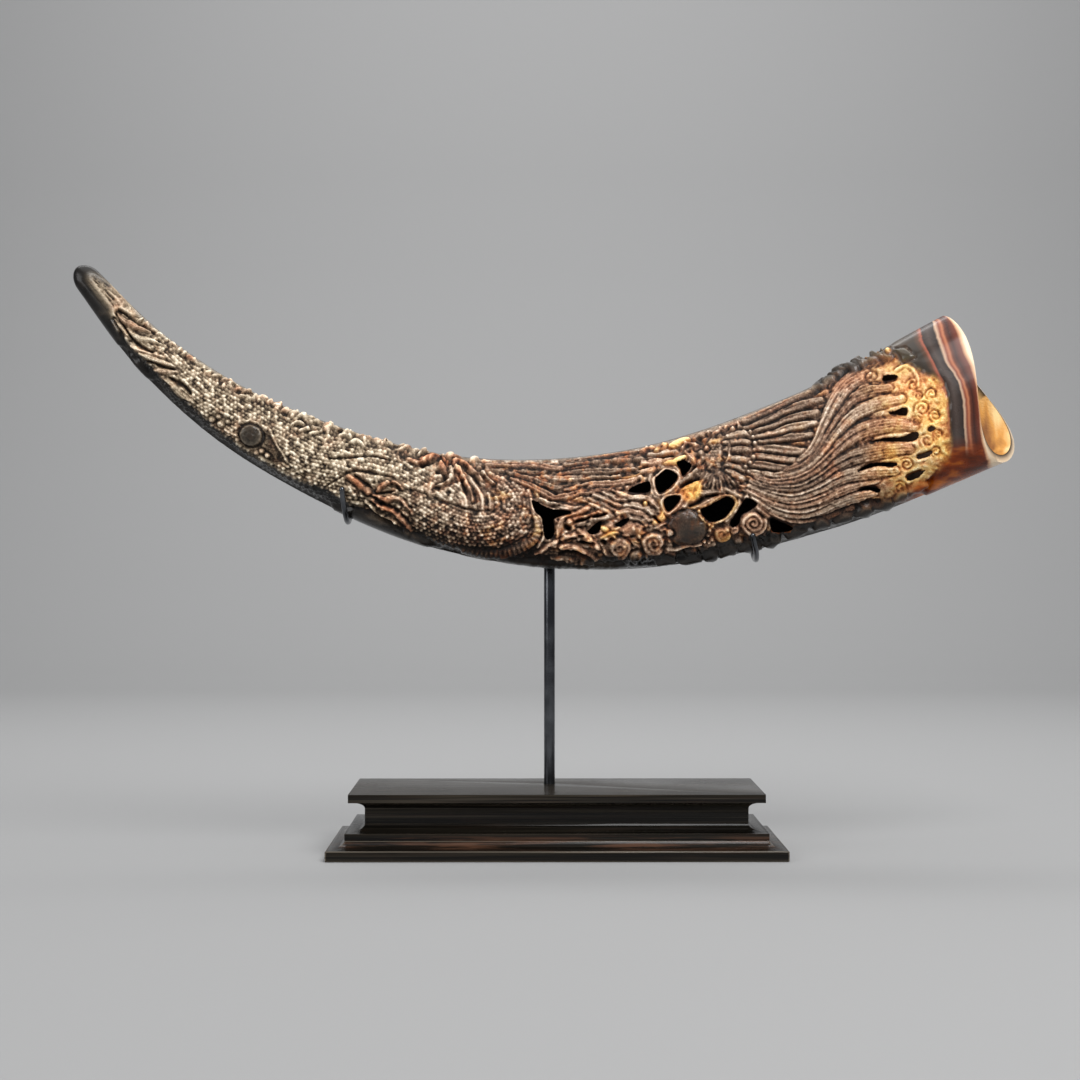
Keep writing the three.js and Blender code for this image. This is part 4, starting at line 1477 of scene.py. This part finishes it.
def blend_of(first, second, share):
    """A colour part of the way from one to another."""
    return tuple(mix(a, b, share) for a, b in zip(first, second))


def ramp(tree, value, stops):
    """Colours set out along a value."""
    made = add_node(tree, "ShaderNodeValToRGB", {"Fac": value})
    elements = made.color_ramp.elements
    elements[0].position, elements[0].color = stops[0]
    elements[1].position, elements[1].color = stops[-1]
    for position, colour in stops[1:-1]:
        elements.new(position).color = colour
    return made.outputs["Color"]


def noise(tree, vector, scale, detail=3.0, roughness=0.55):
    inputs = {"Vector": vector, "Scale": scale, "Detail": detail, "Roughness": roughness}
    return add_node(tree, "ShaderNodeTexNoise", inputs).outputs["Fac"]


def patches(tree, place, scale, detail, *edges):
    """Cloudy patches: noise eased between two edges."""
    return between(tree, noise(tree, place, scale, detail), *edges)


def streaks(tree, place, scales, detail, roughness=0.55):
    """Noise drawn out along one direction."""
    return noise(tree, stretched(tree, place, scales), 1.0, detail, roughness)


def value_of(tree, name):
    return add_node(tree, "ShaderNodeAttribute", attribute_name=name).outputs["Fac"]


def object_place(tree):
    return add_node(tree, "ShaderNodeTexCoord").outputs["Object"]


def stretched(tree, vector, scale):
    return add_node(tree, "ShaderNodeMapping", {"Vector": vector, "Scale": scale}).outputs["Vector"]


def new_material(name):
    """A material with its surface shader and output."""
    material = bpy.data.materials.new(name)
    material.use_nodes = True
    tree = material.node_tree
    return material, tree, tree.nodes["Principled BSDF"]


def add_bump(tree, shader, height, strength, distance):
    bump = add_node(tree, "ShaderNodeBump", {"Strength": strength, "Distance": distance, "Height": height})
    tree.links.new(bump.outputs["Normal"], shader.inputs["Normal"])


def handling_wear():
    """Shared effect: uneven sheen and fine scratches left by handling and polishing."""
    group = bpy.data.node_groups.new("Handling wear", "ShaderNodeTree")
    for name, kind in (("Vector", "NodeSocketVector"), ("Scale", "NodeSocketFloat")):
        group.interface.new_socket(name, in_out="INPUT", socket_type=kind)
    for name in ("Smudge", "Height"):
        group.interface.new_socket(name, in_out="OUTPUT", socket_type="NodeSocketFloat")
    enter = group.nodes.new("NodeGroupInput")
    leave = group.nodes.new("NodeGroupOutput")
    broad = noise(group, enter.outputs["Vector"], enter.outputs["Scale"], 4.0)
    fine_scale = times(group, enter.outputs["Scale"], 14.0)
    fine = noise(group, enter.outputs["Vector"], fine_scale, 2.0)
    group.links.new(broad, leave.inputs["Smudge"])
    group.links.new(fine, leave.inputs["Height"])
    return group


def add_wear(tree, vector, scale):
    """Place the shared wear effect in a material."""
    made = tree.nodes.new("ShaderNodeGroup")
    made.node_tree = bpy.data.node_groups.get("Handling wear") or handling_wear()
    tree.links.new(vector, made.inputs["Vector"])
    made.inputs["Scale"].default_value = scale
    return made.outputs["Smudge"], made.outputs["Height"]


def shades(positions, *colours):
    """Stops of a ramp: colours given as 0 to 255, at positions from 0 to 1."""
    return [(position, paint(*colour)) for position, colour in zip(positions, colours)]


# Colours of the carved horn, from its recesses, darkened partly as painted shade, to its worn ridges
FIVE_STOPS = (0.0, 0.22, 0.5, 0.78, 1.0)
FOUR_STOPS = (0.0, 0.3, 0.6, 1.0)
BONE = shades(FIVE_STOPS, (14, 8, 4), (52, 39, 26), (128, 111, 89), (196, 178, 152), (250, 238, 214))
BROWN = shades(FIVE_STOPS, (9, 4, 2), (40, 25, 16), (104, 81, 64), (172, 147, 124), (240, 220, 198))
RUSSET = shades(FIVE_STOPS, (10, 4, 2), (48, 24, 13), (126, 74, 46), (190, 128, 88), (244, 198, 156))
GOLDEN = shades(FIVE_STOPS, (30, 13, 4), (108, 58, 20), (204, 138, 62), (242, 198, 112), (254, 234, 166))
FLAME = shades(FOUR_STOPS, (24, 8, 3), (96, 48, 24), (190, 116, 66), (252, 204, 138))
BURNT = shades(FOUR_STOPS, (30, 12, 4), (118, 58, 20), (196, 116, 52), (250, 196, 120))
# Colours of the polished skin, by its streaks
POLISHED = shades((0.3, 0.55, 0.75), (17, 16, 15), (34, 31, 28), (66, 58, 50))
LOW_AMBER = shades((0.3, 0.5, 0.68), (40, 10, 0), (116, 44, 2), (206, 112, 26))
# Colours of the three bands from the lip inwards, and of the hollow from the mouth inwards, darkening deeper
# in as painted shade
FIRST_BAND = shades(
    (0.0, 0.03, 0.06, 0.15, 0.20, 0.235, 0.275, 0.315),
    (236, 212, 180), (206, 158, 120), (104, 50, 34), (58, 32, 26), (92, 50, 38), (172, 108, 76),
    (120, 62, 46), (190, 158, 132),
)
DARK_BAND = shades((0.345, 0.5, 0.64), (44, 36, 33), (70, 59, 54), (48, 39, 35))
THIRD_BAND = shades((0.68, 0.76, 0.88), (150, 84, 64), (84, 60, 47), (56, 50, 44))
HOLLOW_WITH_PAINTED_SHADE = shades(
    (0.1, 0.2, 0.3, 0.45, 0.9), (240, 206, 146), (204, 144, 70), (132, 84, 42), (66, 44, 28), (14, 10, 8))
# Where the finish changes, in metres along the horn and up, and in millimetres from the mouth
BROWN_START = (-0.11, -0.02)
WARM_START = (-0.12, 0.0)
FLECKS_START = (-0.1, 0.0)
FLECKS_END = (0.085, 0.11)
LOW_SIDE = (0.224, 0.212)
NEAR_MOUTH = (70.0, 52.0)
# How fine the patches and streaks of the horn are
HORN_WEAR = 60.0
SPECKLES = 1700.0
WARM_PATCHES = 70.0
FLAME_FLECKS = 200.0
AMBER_PATCHES = 38.0
BURNT_PATCHES = 110.0
POLISH_STREAKS = (30.0, 120.0, 160.0)
AMBER_STREAKS = (40.0, 60.0, 130.0)
BAND_WAVES = (55.0, 55.0, 35.0)
HOLLOW_THREADS = (150.0, 90.0, 22.0)


def carved_colour(tree, place, along, worn):
    """Bone turning brown along the horn, with rust, flame, gold and amber tints over it."""
    colour = blend(tree, between(tree, along, *BROWN_START), ramp(tree, worn, BONE), ramp(tree, worn, BROWN))
    rust = value_of(tree, "rust")
    warm = between(tree, along, *WARM_START, 0.3, 0.65)
    warm = times(tree, patches(tree, place, WARM_PATCHES, 3.0, 0.5, 0.72), warm)
    colour = blend(tree, calculate(tree, "MAXIMUM", rust, warm), colour, ramp(tree, worn, RUSSET))
    flecked = between(tree, along, *FLECKS_START, 0.15, 0.55)
    flecked = times(tree, flecked, between(tree, along, *FLECKS_END, 1.0, 0.3))
    flecks = times(tree, patches(tree, place, FLAME_FLECKS, 2.0, 0.54, 0.68), flecked)
    colour = blend(tree, flecks, colour, ramp(tree, worn, FLAME))
    amber = patches(tree, place, AMBER_PATCHES, 2.0, 0.3, 0.6, 0.45, 1.0)
    amber = times(tree, value_of(tree, "amber"), amber)
    amber = times(tree, amber, between(tree, rust, 0.1, 0.9, 1.0, 0.35))
    burnt = patches(tree, place, BURNT_PATCHES, 3.0, 0.42, 0.62, 0.0, 0.9)
    golden = blend(tree, burnt, ramp(tree, worn, GOLDEN), ramp(tree, worn, BURNT))
    return blend(tree, calculate(tree, "MAXIMUM", value_of(tree, "gold"), amber), colour, golden)


def banding_from_lip(tree, place):
    """How far from the lip a place lies: a third for each band, a little uneven."""
    past_lip, past_right, past_left = (value_of(tree, name) for name in BAND_CURVES)
    bands = calculate(
        tree, "ADD", share_of(tree, past_lip, past_right), share_of(tree, past_right, past_left))
    bands = calculate(tree, "ADD", bands, kept_within(tree, calculate(tree, "DIVIDE", past_left, LAST_BAND)))
    waver = around_zero(tree, streaks(tree, place, BAND_WAVES, 1.0), 0.4)
    return times(tree, calculate(tree, "ADD", bands, waver), 1 / 3)


def polished_colour(tree, place, low_side, near_mouth):
    """Black skin with faint streaks, banded near the mouth, and glossy amber low down there."""
    black = ramp(tree, streaks(tree, place, POLISH_STREAKS, 4.0), POLISHED)
    banding = banding_from_lip(tree, place)
    bands = ramp(tree, banding, FIRST_BAND + DARK_BAND + THIRD_BAND)
    amber = ramp(tree, streaks(tree, place, AMBER_STREAKS, 3.0), LOW_AMBER)
    amber = blend(tree, between(tree, banding, 0.04, 0.09), bands, amber)
    return blend(tree, near_mouth, black, blend(tree, low_side, bands, amber))


def hollow_colour(tree, place, to_mouth):
    """Pale amber at the mouth, streaked further in, and darker there as painted shade."""
    threads = streaks(tree, place, HOLLOW_THREADS, 2.0)
    # Painted shade: darker with distance from the mouth
    depth = calculate(tree, "MULTIPLY_ADD", threads, 0.3, times(tree, to_mouth, 0.01))
    return ramp(tree, depth, HOLLOW_WITH_PAINTED_SHADE)


def horn_material():
    """Carved horn: dark recesses (partly painted shade) and pale worn ridges, black and banded where it is
    polished.
    """
    material, tree, shader = new_material("carved horn")
    place = object_place(tree)
    along, _, up = add_node(tree, "ShaderNodeSeparateXYZ", {"Vector": place}).outputs
    smudge, grain = add_wear(tree, place, HORN_WEAR)
    # Lightness from the relief: pale worn ridges, and recesses darkened partly as painted shade
    worn = calculate(tree, "ADD", value_of(tree, "relief"), around_zero(tree, grain, 0.3))
    worn = calculate(tree, "ADD", worn, around_zero(tree, noise(tree, place, SPECKLES, 1.0), 0.5))
    polished = value_of(tree, "black")
    to_mouth = value_of(tree, "to_mouth")
    near_mouth = between(tree, to_mouth, *NEAR_MOUTH)
    low_side = between(tree, up, *LOW_SIDE)
    colour = carved_colour(tree, place, along, worn)
    colour = blend(tree, polished, colour, polished_colour(tree, place, low_side, near_mouth))
    colour = blend(tree, value_of(tree, "inside"), colour, hollow_colour(tree, place, to_mouth))
    tree.links.new(colour, shader.inputs["Base Color"])
    carved_sheen = between(tree, worn, 0.3, 0.95, 0.7, 0.3)
    polished_sheen = between(tree, smudge, 0.3, 0.7, 0.16, 0.34)
    tree.links.new(blend(tree, polished, carved_sheen, polished_sheen), shader.inputs["Roughness"])
    add_bump(tree, shader, times(tree, grain, calculate(tree, "SUBTRACT", 1.0, polished)), 0.6, 0.0006)
    low_amber = times(tree, low_side, near_mouth)
    coat = calculate(tree, "MULTIPLY_ADD", low_amber, -0.3, mix_value(tree, near_mouth, 0.12, 0.3))
    tree.links.new(times(tree, polished, coat), shader.inputs["Coat Weight"])
    shader.inputs["Coat Roughness"].default_value = 0.12
    shader.inputs["Specular IOR Level"].default_value = 0.25
    return material


# Colours of rubbed edges, lightened partly as a painted highlight, bare wood and worn paint, and how fine the
# wood's grain and the wear are
EDGE_RUB_AND_HIGHLIGHT_DARK = paint(62, 57, 50)
EDGE_RUB_AND_HIGHLIGHT_PALE = paint(144, 132, 115)
BARE_WOOD = paint(100, 68, 50)
WORN_STEEL = paint(104, 106, 110)
WOOD_FIBRES = (5.0, 420.0, 560.0)
WOOD_RUBS = (18.0, 160.0, 420.0)
WOOD_WEAR = 25.0
STEEL_WEAR = 80.0


def wood_material(name, dark, pale):
    """Black waxed wood with fine grain along the boards, rubbed bare low down."""
    material, tree, shader = new_material(name)
    place = object_place(tree)
    up = add_node(tree, "ShaderNodeSeparateXYZ", {"Vector": place}).outputs["Z"]
    smudge, pores = add_wear(tree, place, WOOD_WEAR)
    fibres = streaks(tree, place, WOOD_FIBRES, 3.0, 0.65)
    colour = ramp(tree, fibres, [(0.36, dark), (0.52, blend_of(dark, pale, 0.3)), (0.66, pale)])
    colour = blend(tree, between(tree, up, 0.014, 0.028, 0.65, 0.0), colour, dark)
    rubbed = between(tree, streaks(tree, place, WOOD_RUBS, 4.0, 0.65), 0.48, 0.68)
    low = times(tree, between(tree, up, 0.0052, 0.0068), between(tree, up, 0.013, 0.0105))
    bare = times(tree, rubbed, mix_value(tree, low, 0.05, 0.5))
    tree.links.new(blend(tree, bare, colour, BARE_WOOD), shader.inputs["Base Color"])
    sheen = calculate(tree, "ADD", between(tree, smudge, 0.3, 0.7, 0.1, 0.22), times(tree, fibres, 0.12))
    tree.links.new(sheen, shader.inputs["Roughness"])
    shader.inputs["Specular IOR Level"].default_value = 0.06
    shader.inputs["Coat Weight"].default_value = 0.26
    shader.inputs["Coat Roughness"].default_value = 0.07
    add_bump(tree, shader, calculate(tree, "ADD", fibres, times(tree, pores, 0.3)), 0.5, 0.0005)
    return material


def steel_material(colour):
    """Satin black paint on steel rod."""
    material, tree, shader = new_material("black painted steel")
    smudge, grain = add_wear(tree, object_place(tree), STEEL_WEAR)
    tree.links.new(ramp(tree, smudge, [(0.3, colour), (0.75, WORN_STEEL)]), shader.inputs["Base Color"])
    tree.links.new(between(tree, smudge, 0.3, 0.7, 0.14, 0.26), shader.inputs["Roughness"])
    add_bump(tree, shader, grain, 0.12, 0.0003)
    shader.inputs["Metallic"].default_value = 0.9
    return material


# Base

def cove(inner, outer):
    """Hollow moulding from an upright inner edge to a level outer edge, as (inset, z) points."""
    angles = np.linspace(0, math.pi / 2, COVE_STEPS + 1)
    return [(mix(outer[0], inner[0], math.cos(a)), mix(inner[1], outer[1], math.sin(a))) for a in angles]


def make_board(name, profile, drilled, edge_wear, materials):
    """A board raised from a flat outline, one step of its edge moulding at a time."""
    bpy.ops.object.select_all(action="DESELECT")
    first_inset, first_z = profile[0]
    bpy.ops.mesh.primitive_plane_add(size=1, location=(0, 0, first_z * MM))
    board = bpy.context.object
    board.name = board.data.name = name
    board.scale = ((BASE_WIDTH - 2 * first_inset) * MM, (BASE_DEPTH - 2 * first_inset) * MM, 1)
    bpy.ops.object.transform_apply(location=True, rotation=True, scale=True)
    bpy.ops.object.mode_set(mode="EDIT")
    bpy.ops.mesh.select_all(action="SELECT")
    for (inset, z), (next_inset, next_z) in zip(profile, profile[1:]):
        bpy.ops.mesh.extrude_region_move(TRANSFORM_OT_translate={"value": (0, 0, (next_z - z) * MM)})
        wider = (BASE_WIDTH - 2 * next_inset) / (BASE_WIDTH - 2 * inset)
        deeper = (BASE_DEPTH - 2 * next_inset) / (BASE_DEPTH - 2 * inset)
        bpy.ops.transform.resize(value=(wider, deeper, 1), center_override=(0, 0, next_z * MM))
    face_outwards()
    if drilled:
        cut_away(board, upright_rod(POST_RADIUS + GAP, POST_FOOT - GAP, BASE_TOP + 1, HOLE_SIDES))
    bevel = board.modifiers.new("Worn edges", "BEVEL")
    bevel.width = edge_wear
    bevel.segments = BEVEL_STEPS
    bevel.limit_method = "ANGLE"
    bevel.angle_limit = BEVEL_ANGLE
    # Bevel faces take the second, lighter wood: partly rubbed wear, partly painted highlight
    bevel.material = 1
    pick(board)
    board.data.materials.clear()
    for material in materials:
        board.data.materials.append(material)
    bpy.ops.object.modifier_apply(modifier=bevel.name)
    bpy.ops.object.shade_smooth_by_angle(angle=BOARD_SMOOTH_ANGLE)
    return board


def upright_rod(radius, bottom, top, sides):
    """A plain rod at the post's place, between two heights in millimetres."""
    bpy.ops.object.select_all(action="DESELECT")
    bpy.ops.mesh.primitive_cylinder_add(
        vertices=sides, radius=radius * MM, depth=(top - bottom) * MM,
        location=(POST_X * MM, POST_Y * MM, (top + bottom) / 2 * MM),
    )
    bpy.ops.object.transform_apply(location=True, rotation=True, scale=True)
    return bpy.context.object


# Steel

def beside_horn(share, degrees, drop):
    """A point on an arm's line beside the horn, in the upright plane at a share of its length."""
    place, along, _ = middle_line(np.array([share]))
    half_height, half_depth = horn_sizes(share)
    angle = math.radians(degrees)
    rise = math.cos(angle)
    y = (half_depth + ARM_TO_HORN) * math.sin(angle) * (1 - TOP_NARROWING * rise)
    z = (half_height / along[0, 0] + ARM_TO_HORN + drop) * rise
    return np.array((place[0, 0], HORN_Y + y, place[0, 1] + z))


def arm_points(hook):
    """The points that an arm's rod is bent through, from the post to its free end."""
    start = np.array((POST_X + hook["side"] * (POST_RADIUS + GAP), POST_Y, ARM_START_Z))
    run = [beside_horn(mix(POST_SHARE, hook["share"], part), RUN_ANGLE, 0) for part in RUN_PARTS]
    bottom = beside_horn(hook["share"], 180, hook["drop"])
    bend = []
    for step in range(HOOK_POINTS):
        degrees = mix(HOOK_FIRST_ANGLE, hook["last_angle"], step / (HOOK_POINTS - 1))
        point = beside_horn(hook["share"], degrees, hook["drop"])
        if degrees > 180:
            point[0] -= hook["lean"] * (point[2] - bottom[2])
        bend.append(point)
    return [start] + run + bend


def centripetal_curve(points, per_stretch=16):
    """A smooth curve through points, eased by the square root of their spacing."""
    points = np.array(points)
    padded = run_on(points)
    stretches = []
    for p0, p1, p2, p3 in zip(padded, padded[1:], padded[2:], padded[3:]):
        d0, d1, d2 = (math.sqrt(np.linalg.norm(b - a)) for a, b in ((p0, p1), (p1, p2), (p2, p3)))
        leaving = ((p1 - p0) / d0 - (p2 - p0) / (d0 + d1) + (p2 - p1) / d1) * d1
        arriving = ((p2 - p1) / d1 - (p3 - p1) / (d1 + d2) + (p3 - p2) / d2) * d1
        t = np.linspace(0, 1, per_stretch, endpoint=False)[:, None]
        stretches.append(eased(p1, p2, leaving, arriving, t))
    return np.vstack(stretches + [points[-1:]])


def make_arm(name, hook):
    """A bent rod with a rounded free end."""
    route = centripetal_curve(arm_points(hook))
    ahead = route[-1] - route[-2]
    ahead /= np.linalg.norm(ahead)
    turns = np.linspace(0.25, 1.5, ARM_FINENESS)
    tip = [(route[-1] + ahead * ARM_RADIUS * math.sin(a), math.cos(a)) for a in turns]
    stops = [(point, 1.0) for point in route] + tip
    line = bpy.data.curves.new(name, "CURVE")
    line.dimensions = "3D"
    line.bevel_depth = ARM_RADIUS * MM
    line.bevel_resolution = ARM_FINENESS
    line.use_fill_caps = True
    spline = line.splines.new("POLY")
    spline.points.add(len(stops) - 1)
    for point, (place, radius) in zip(spline.points, stops):
        point.co = (*(place * MM), 1)
        point.radius = radius
    rod = bpy.data.objects.new(name, line)
    bpy.context.scene.collection.objects.link(rod)
    pick(rod)
    bpy.ops.object.convert(target="MESH")
    rod = bpy.context.object
    bpy.ops.object.shade_smooth_by_angle(angle=ARM_SMOOTH_ANGLE)
    return rod


def make_post(name):
    """A round rod with turned ends."""
    post = upright_rod(POST_RADIUS, POST_FOOT, POST_HEAD, POST_SIDES)
    post.name = post.data.name = name
    bevel = post.modifiers.new("Turned ends", "BEVEL")
    bevel.width = POST_EDGE * MM
    bevel.segments = BEVEL_STEPS
    bevel.limit_method = "ANGLE"
    bpy.ops.object.modifier_apply(modifier=bevel.name)
    bpy.ops.object.shade_smooth_by_angle(angle=POST_SMOOTH_ANGLE)
    return post


# Settings

class HornSettings(bpy.types.PropertyGroup):
    """What a user may change about the horn."""
    carving_depth: bpy.props.FloatProperty(
        name="Carving depth", description="Depth of the carved ground, as a share of the drawn depth",
        default=1.0, min=0.2, max=1.3, subtype="FACTOR")


class StandSettings(bpy.types.PropertyGroup):
    """What a user may change about the stand."""
    edge_wear: bpy.props.FloatProperty(
        name="Edge wear", description="Width of the worn edges of the boards", default=0.0007, min=0.0001,
        max=0.002, unit="LENGTH")
    wood_dark: bpy.props.FloatVectorProperty(
        name="Wood", description="Darkest tone of the wood", size=4, subtype="COLOR", default=paint(7, 6, 5))
    wood_pale: bpy.props.FloatVectorProperty(
        name="Wood grain", description="Palest tone of the wood's grain", size=4, subtype="COLOR",
        default=paint(62, 56, 47))
    steel: bpy.props.FloatVectorProperty(
        name="Steel", description="Paint on the post and arms", size=4, subtype="COLOR",
        default=paint(58, 60, 63))


class StageSettings(bpy.types.PropertyGroup):
    """What a user may change about the stage."""
    floor: bpy.props.FloatVectorProperty(
        name="Floor", description="Colour of the floor", size=4, subtype="COLOR",
        default=paint(146, 146, 146))
    key_power: bpy.props.FloatProperty(
        name="Key light", description="Power of the main soft light", default=33.0)
    fill_power: bpy.props.FloatProperty(
        name="Fill light", description="Power of the fill light", default=8.0)


# Operators

class CARVED_HORN_OT_horn(bpy.types.Operator):
    """Carve, hollow and pierce the horn"""
    bl_idname = "carved_horn.horn"
    bl_label = "Horn"

    def execute(self, context):
        sheet = draw_carving()
        sheet.height *= context.scene.carved_horn.carving_depth
        horn = carved_skin(sheet)
        thin = horn.modifiers.new("Thin", "DECIMATE")
        triangles = sum(len(face.vertices) - 2 for face in horn.data.polygons)
        thin.ratio = min(1.0, SKIN_TRIANGLES / triangles)
        pick(horn)
        bpy.ops.object.modifier_apply(modifier=thin.name)
        cut_away(horn, hollow_cutter())
        cut_away(horn, window_cutter())
        bpy.ops.object.shade_smooth_by_angle(angle=HORN_SMOOTH_ANGLE)
        finish_piece(horn, "horn", "horn", horn_material())
        return {"FINISHED"}


class CARVED_HORN_OT_boards(bpy.types.Operator):
    """Raise the four boards of the base"""
    bl_idname = "carved_horn.boards"
    bl_label = "Base boards"

    def execute(self, context):
        settings = context.scene.horn_stand
        wood = wood_material("black waxed wood", settings.wood_dark, settings.wood_pale)
        # Lighter wood for the bevelled edges: partly rubbed wear, partly painted highlight
        worn = wood_material("rubbed edge wood with painted highlight", EDGE_RUB_AND_HIGHLIGHT_DARK, EDGE_RUB_AND_HIGHLIGHT_PALE)
        plinth = cove((STEP_INSET, PLINTH_TOP), (0, PLINTH_EDGE_TOP))[::-1]
        step = cove((NECK_INSET, STEP_TOP), (STEP_INSET, STEP_EDGE_TOP))[::-1]
        top = cove((NECK_INSET, NECK_TOP), (TOP_INSET, TOP_EDGE_BOTTOM))
        profiles = {
            "base_plinth": [(0, 0)] + plinth,
            "base_step": [(STEP_INSET, PLINTH_TOP)] + step,
            "base_neck": [(NECK_INSET, STEP_TOP), (NECK_INSET, NECK_TOP)],
            "base_top": top + [(TOP_INSET, BASE_TOP)],
        }
        for node, profile in profiles.items():
            drilled = node != "base_plinth"
            board = make_board("wooden_" + node, profile, drilled, settings.edge_wear, (wood, worn))
            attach(board, "root")
            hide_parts(node)
        return {"FINISHED"}


class CARVED_HORN_OT_steel(bpy.types.Operator):
    """Turn the post and bend the two arms"""
    bl_idname = "carved_horn.steel"
    bl_label = "Post and arms"

    def execute(self, context):
        steel = steel_material(context.scene.horn_stand.steel)
        finish_piece(make_post("steel_post"), "post", "steel", steel)
        for node, hook in HOOKS.items():
            finish_piece(make_arm("steel_" + node, hook), node, "steel", steel)
        return {"FINISHED"}


class CARVED_HORN_OT_stage(bpy.types.Operator):
    """Set up the floor, the lights and the camera"""
    bl_idname = "carved_horn.stage"
    bl_label = "Stage"

    def execute(self, context):
        settings = context.scene.horn_stage
        floor = make_floor(settings.floor)
        make_light("key light", *KEY_LIGHT, settings.key_power)
        make_light("fill light", *FILL_LIGHT, settings.fill_power)
        make_light("top light", *TOP_LIGHT, settings.fill_power * TOP_SHARE)
        make_light("backdrop light", *BACKDROP_LIGHT, settings.fill_power * BACKDROP_SHARE, BACKDROP_TARGET)
        world = bpy.data.worlds.new("studio")
        world.use_nodes = True
        background = world.node_tree.nodes["Background"]
        background.inputs["Color"].default_value = SKY
        background.inputs["Strength"].default_value = SKY_STRENGTH
        context.scene.world = world
        context.scene.view_settings.view_transform = "Standard"
        make_camera(context.scene)
        return {"FINISHED"}


def make_floor(colour):
    """A floor that sweeps up into a backdrop."""
    bpy.ops.object.select_all(action="DESELECT")
    bpy.ops.mesh.primitive_plane_add(size=1, location=(0, FLOOR_Y, 0))
    floor = bpy.context.object
    floor.name = floor.data.name = "floor"
    floor.scale = (FLOOR_WIDTH, FLOOR_LENGTH, 1)
    bpy.ops.object.transform_apply(location=True, rotation=True, scale=True)
    bpy.ops.object.mode_set(mode="EDIT")
    bpy.ops.mesh.select_all(action="DESELECT")
    bpy.ops.object.mode_set(mode="OBJECT")
    for edge in floor.data.edges:
        edge.select = all(floor.data.vertices[v].co.y > 1 for v in edge.vertices)
    bpy.ops.object.mode_set(mode="EDIT")
    bpy.ops.mesh.select_mode(type="EDGE")
    for step in range(SWEEP_STEPS):
        tilt = math.radians(90 * (step + 0.5) / SWEEP_STEPS)
        move = (0, SWEEP_STEP * math.cos(tilt), SWEEP_STEP * math.sin(tilt))
        bpy.ops.mesh.extrude_region_move(TRANSFORM_OT_translate={"value": move})
    bpy.ops.mesh.extrude_region_move(TRANSFORM_OT_translate={"value": (0, 0, BACKDROP_HEIGHT)})
    bpy.ops.object.mode_set(mode="OBJECT")
    bpy.ops.object.shade_smooth()
    material, _, shader = new_material("plain floor")
    shader.inputs["Base Color"].default_value = colour
    shader.inputs["Roughness"].default_value = 0.75
    floor.data.materials.append(material)
    return floor


def make_light(name, place, size, power, target=(0, 0, 0.2)):
    light = bpy.data.lights.new(name, "AREA")
    light.size = size
    light.energy = power
    lamp = bpy.data.objects.new(name, light)
    lamp.location = place
    lamp.rotation_euler = (Vector(target) - Vector(place)).to_track_quat("-Z", "Y").to_euler()
    bpy.context.scene.collection.objects.link(lamp)


def make_camera(scene):
    lens = bpy.data.cameras.new("camera")
    lens.sensor_width = SENSOR_WIDTH
    lens.lens = SENSOR_WIDTH * FOCAL_PIXELS / PICTURE_SIZE
    lens.clip_start = 0.01
    camera = bpy.data.objects.new("camera", lens)
    camera.location = EYE * MM
    camera.rotation_euler = (Matrix.Rotation(YAW, 3, "Z") @ Matrix.Rotation(PITCH, 3, "X")).to_euler()
    scene.collection.objects.link(camera)
    scene.camera = camera


class CARVED_HORN_PT_panel(bpy.types.Panel):
    """Lists the steps of building the carved horn and its stand"""
    bl_idname = "CARVED_HORN_PT_panel"
    bl_label = "Carved Horn"
    bl_space_type = "VIEW_3D"
    bl_region_type = "UI"
    bl_category = "Carved Horn"

    def draw(self, context):
        for settings in (context.scene.carved_horn, context.scene.horn_stand, context.scene.horn_stage):
            for name in settings.__annotations__:
                self.layout.prop(settings, name)
        for step in STEPS:
            self.layout.operator(step.bl_idname)


STEPS = (CARVED_HORN_OT_stage, CARVED_HORN_OT_boards, CARVED_HORN_OT_steel, CARVED_HORN_OT_horn)
SETTINGS = {"carved_horn": HornSettings, "horn_stand": StandSettings, "horn_stage": StageSettings}


def register():
    for settings in SETTINGS.values():
        bpy.utils.register_class(settings)
    for step in STEPS:
        bpy.utils.register_class(step)
    bpy.utils.register_class(CARVED_HORN_PT_panel)
    for name, settings in SETTINGS.items():
        setattr(bpy.types.Scene, name, bpy.props.PointerProperty(type=settings))


def unregister():
    for name in SETTINGS:
        delattr(bpy.types.Scene, name)
    bpy.utils.unregister_class(CARVED_HORN_PT_panel)
    for step in STEPS:
        bpy.utils.unregister_class(step)
    for settings in SETTINGS.values():
        bpy.utils.unregister_class(settings)


def main():
    register()
    bpy.ops.carved_horn.stage()
    bpy.ops.carved_horn.boards()
    bpy.ops.carved_horn.steel()
    bpy.ops.carved_horn.horn()


if __name__ == "__main__":
    main()
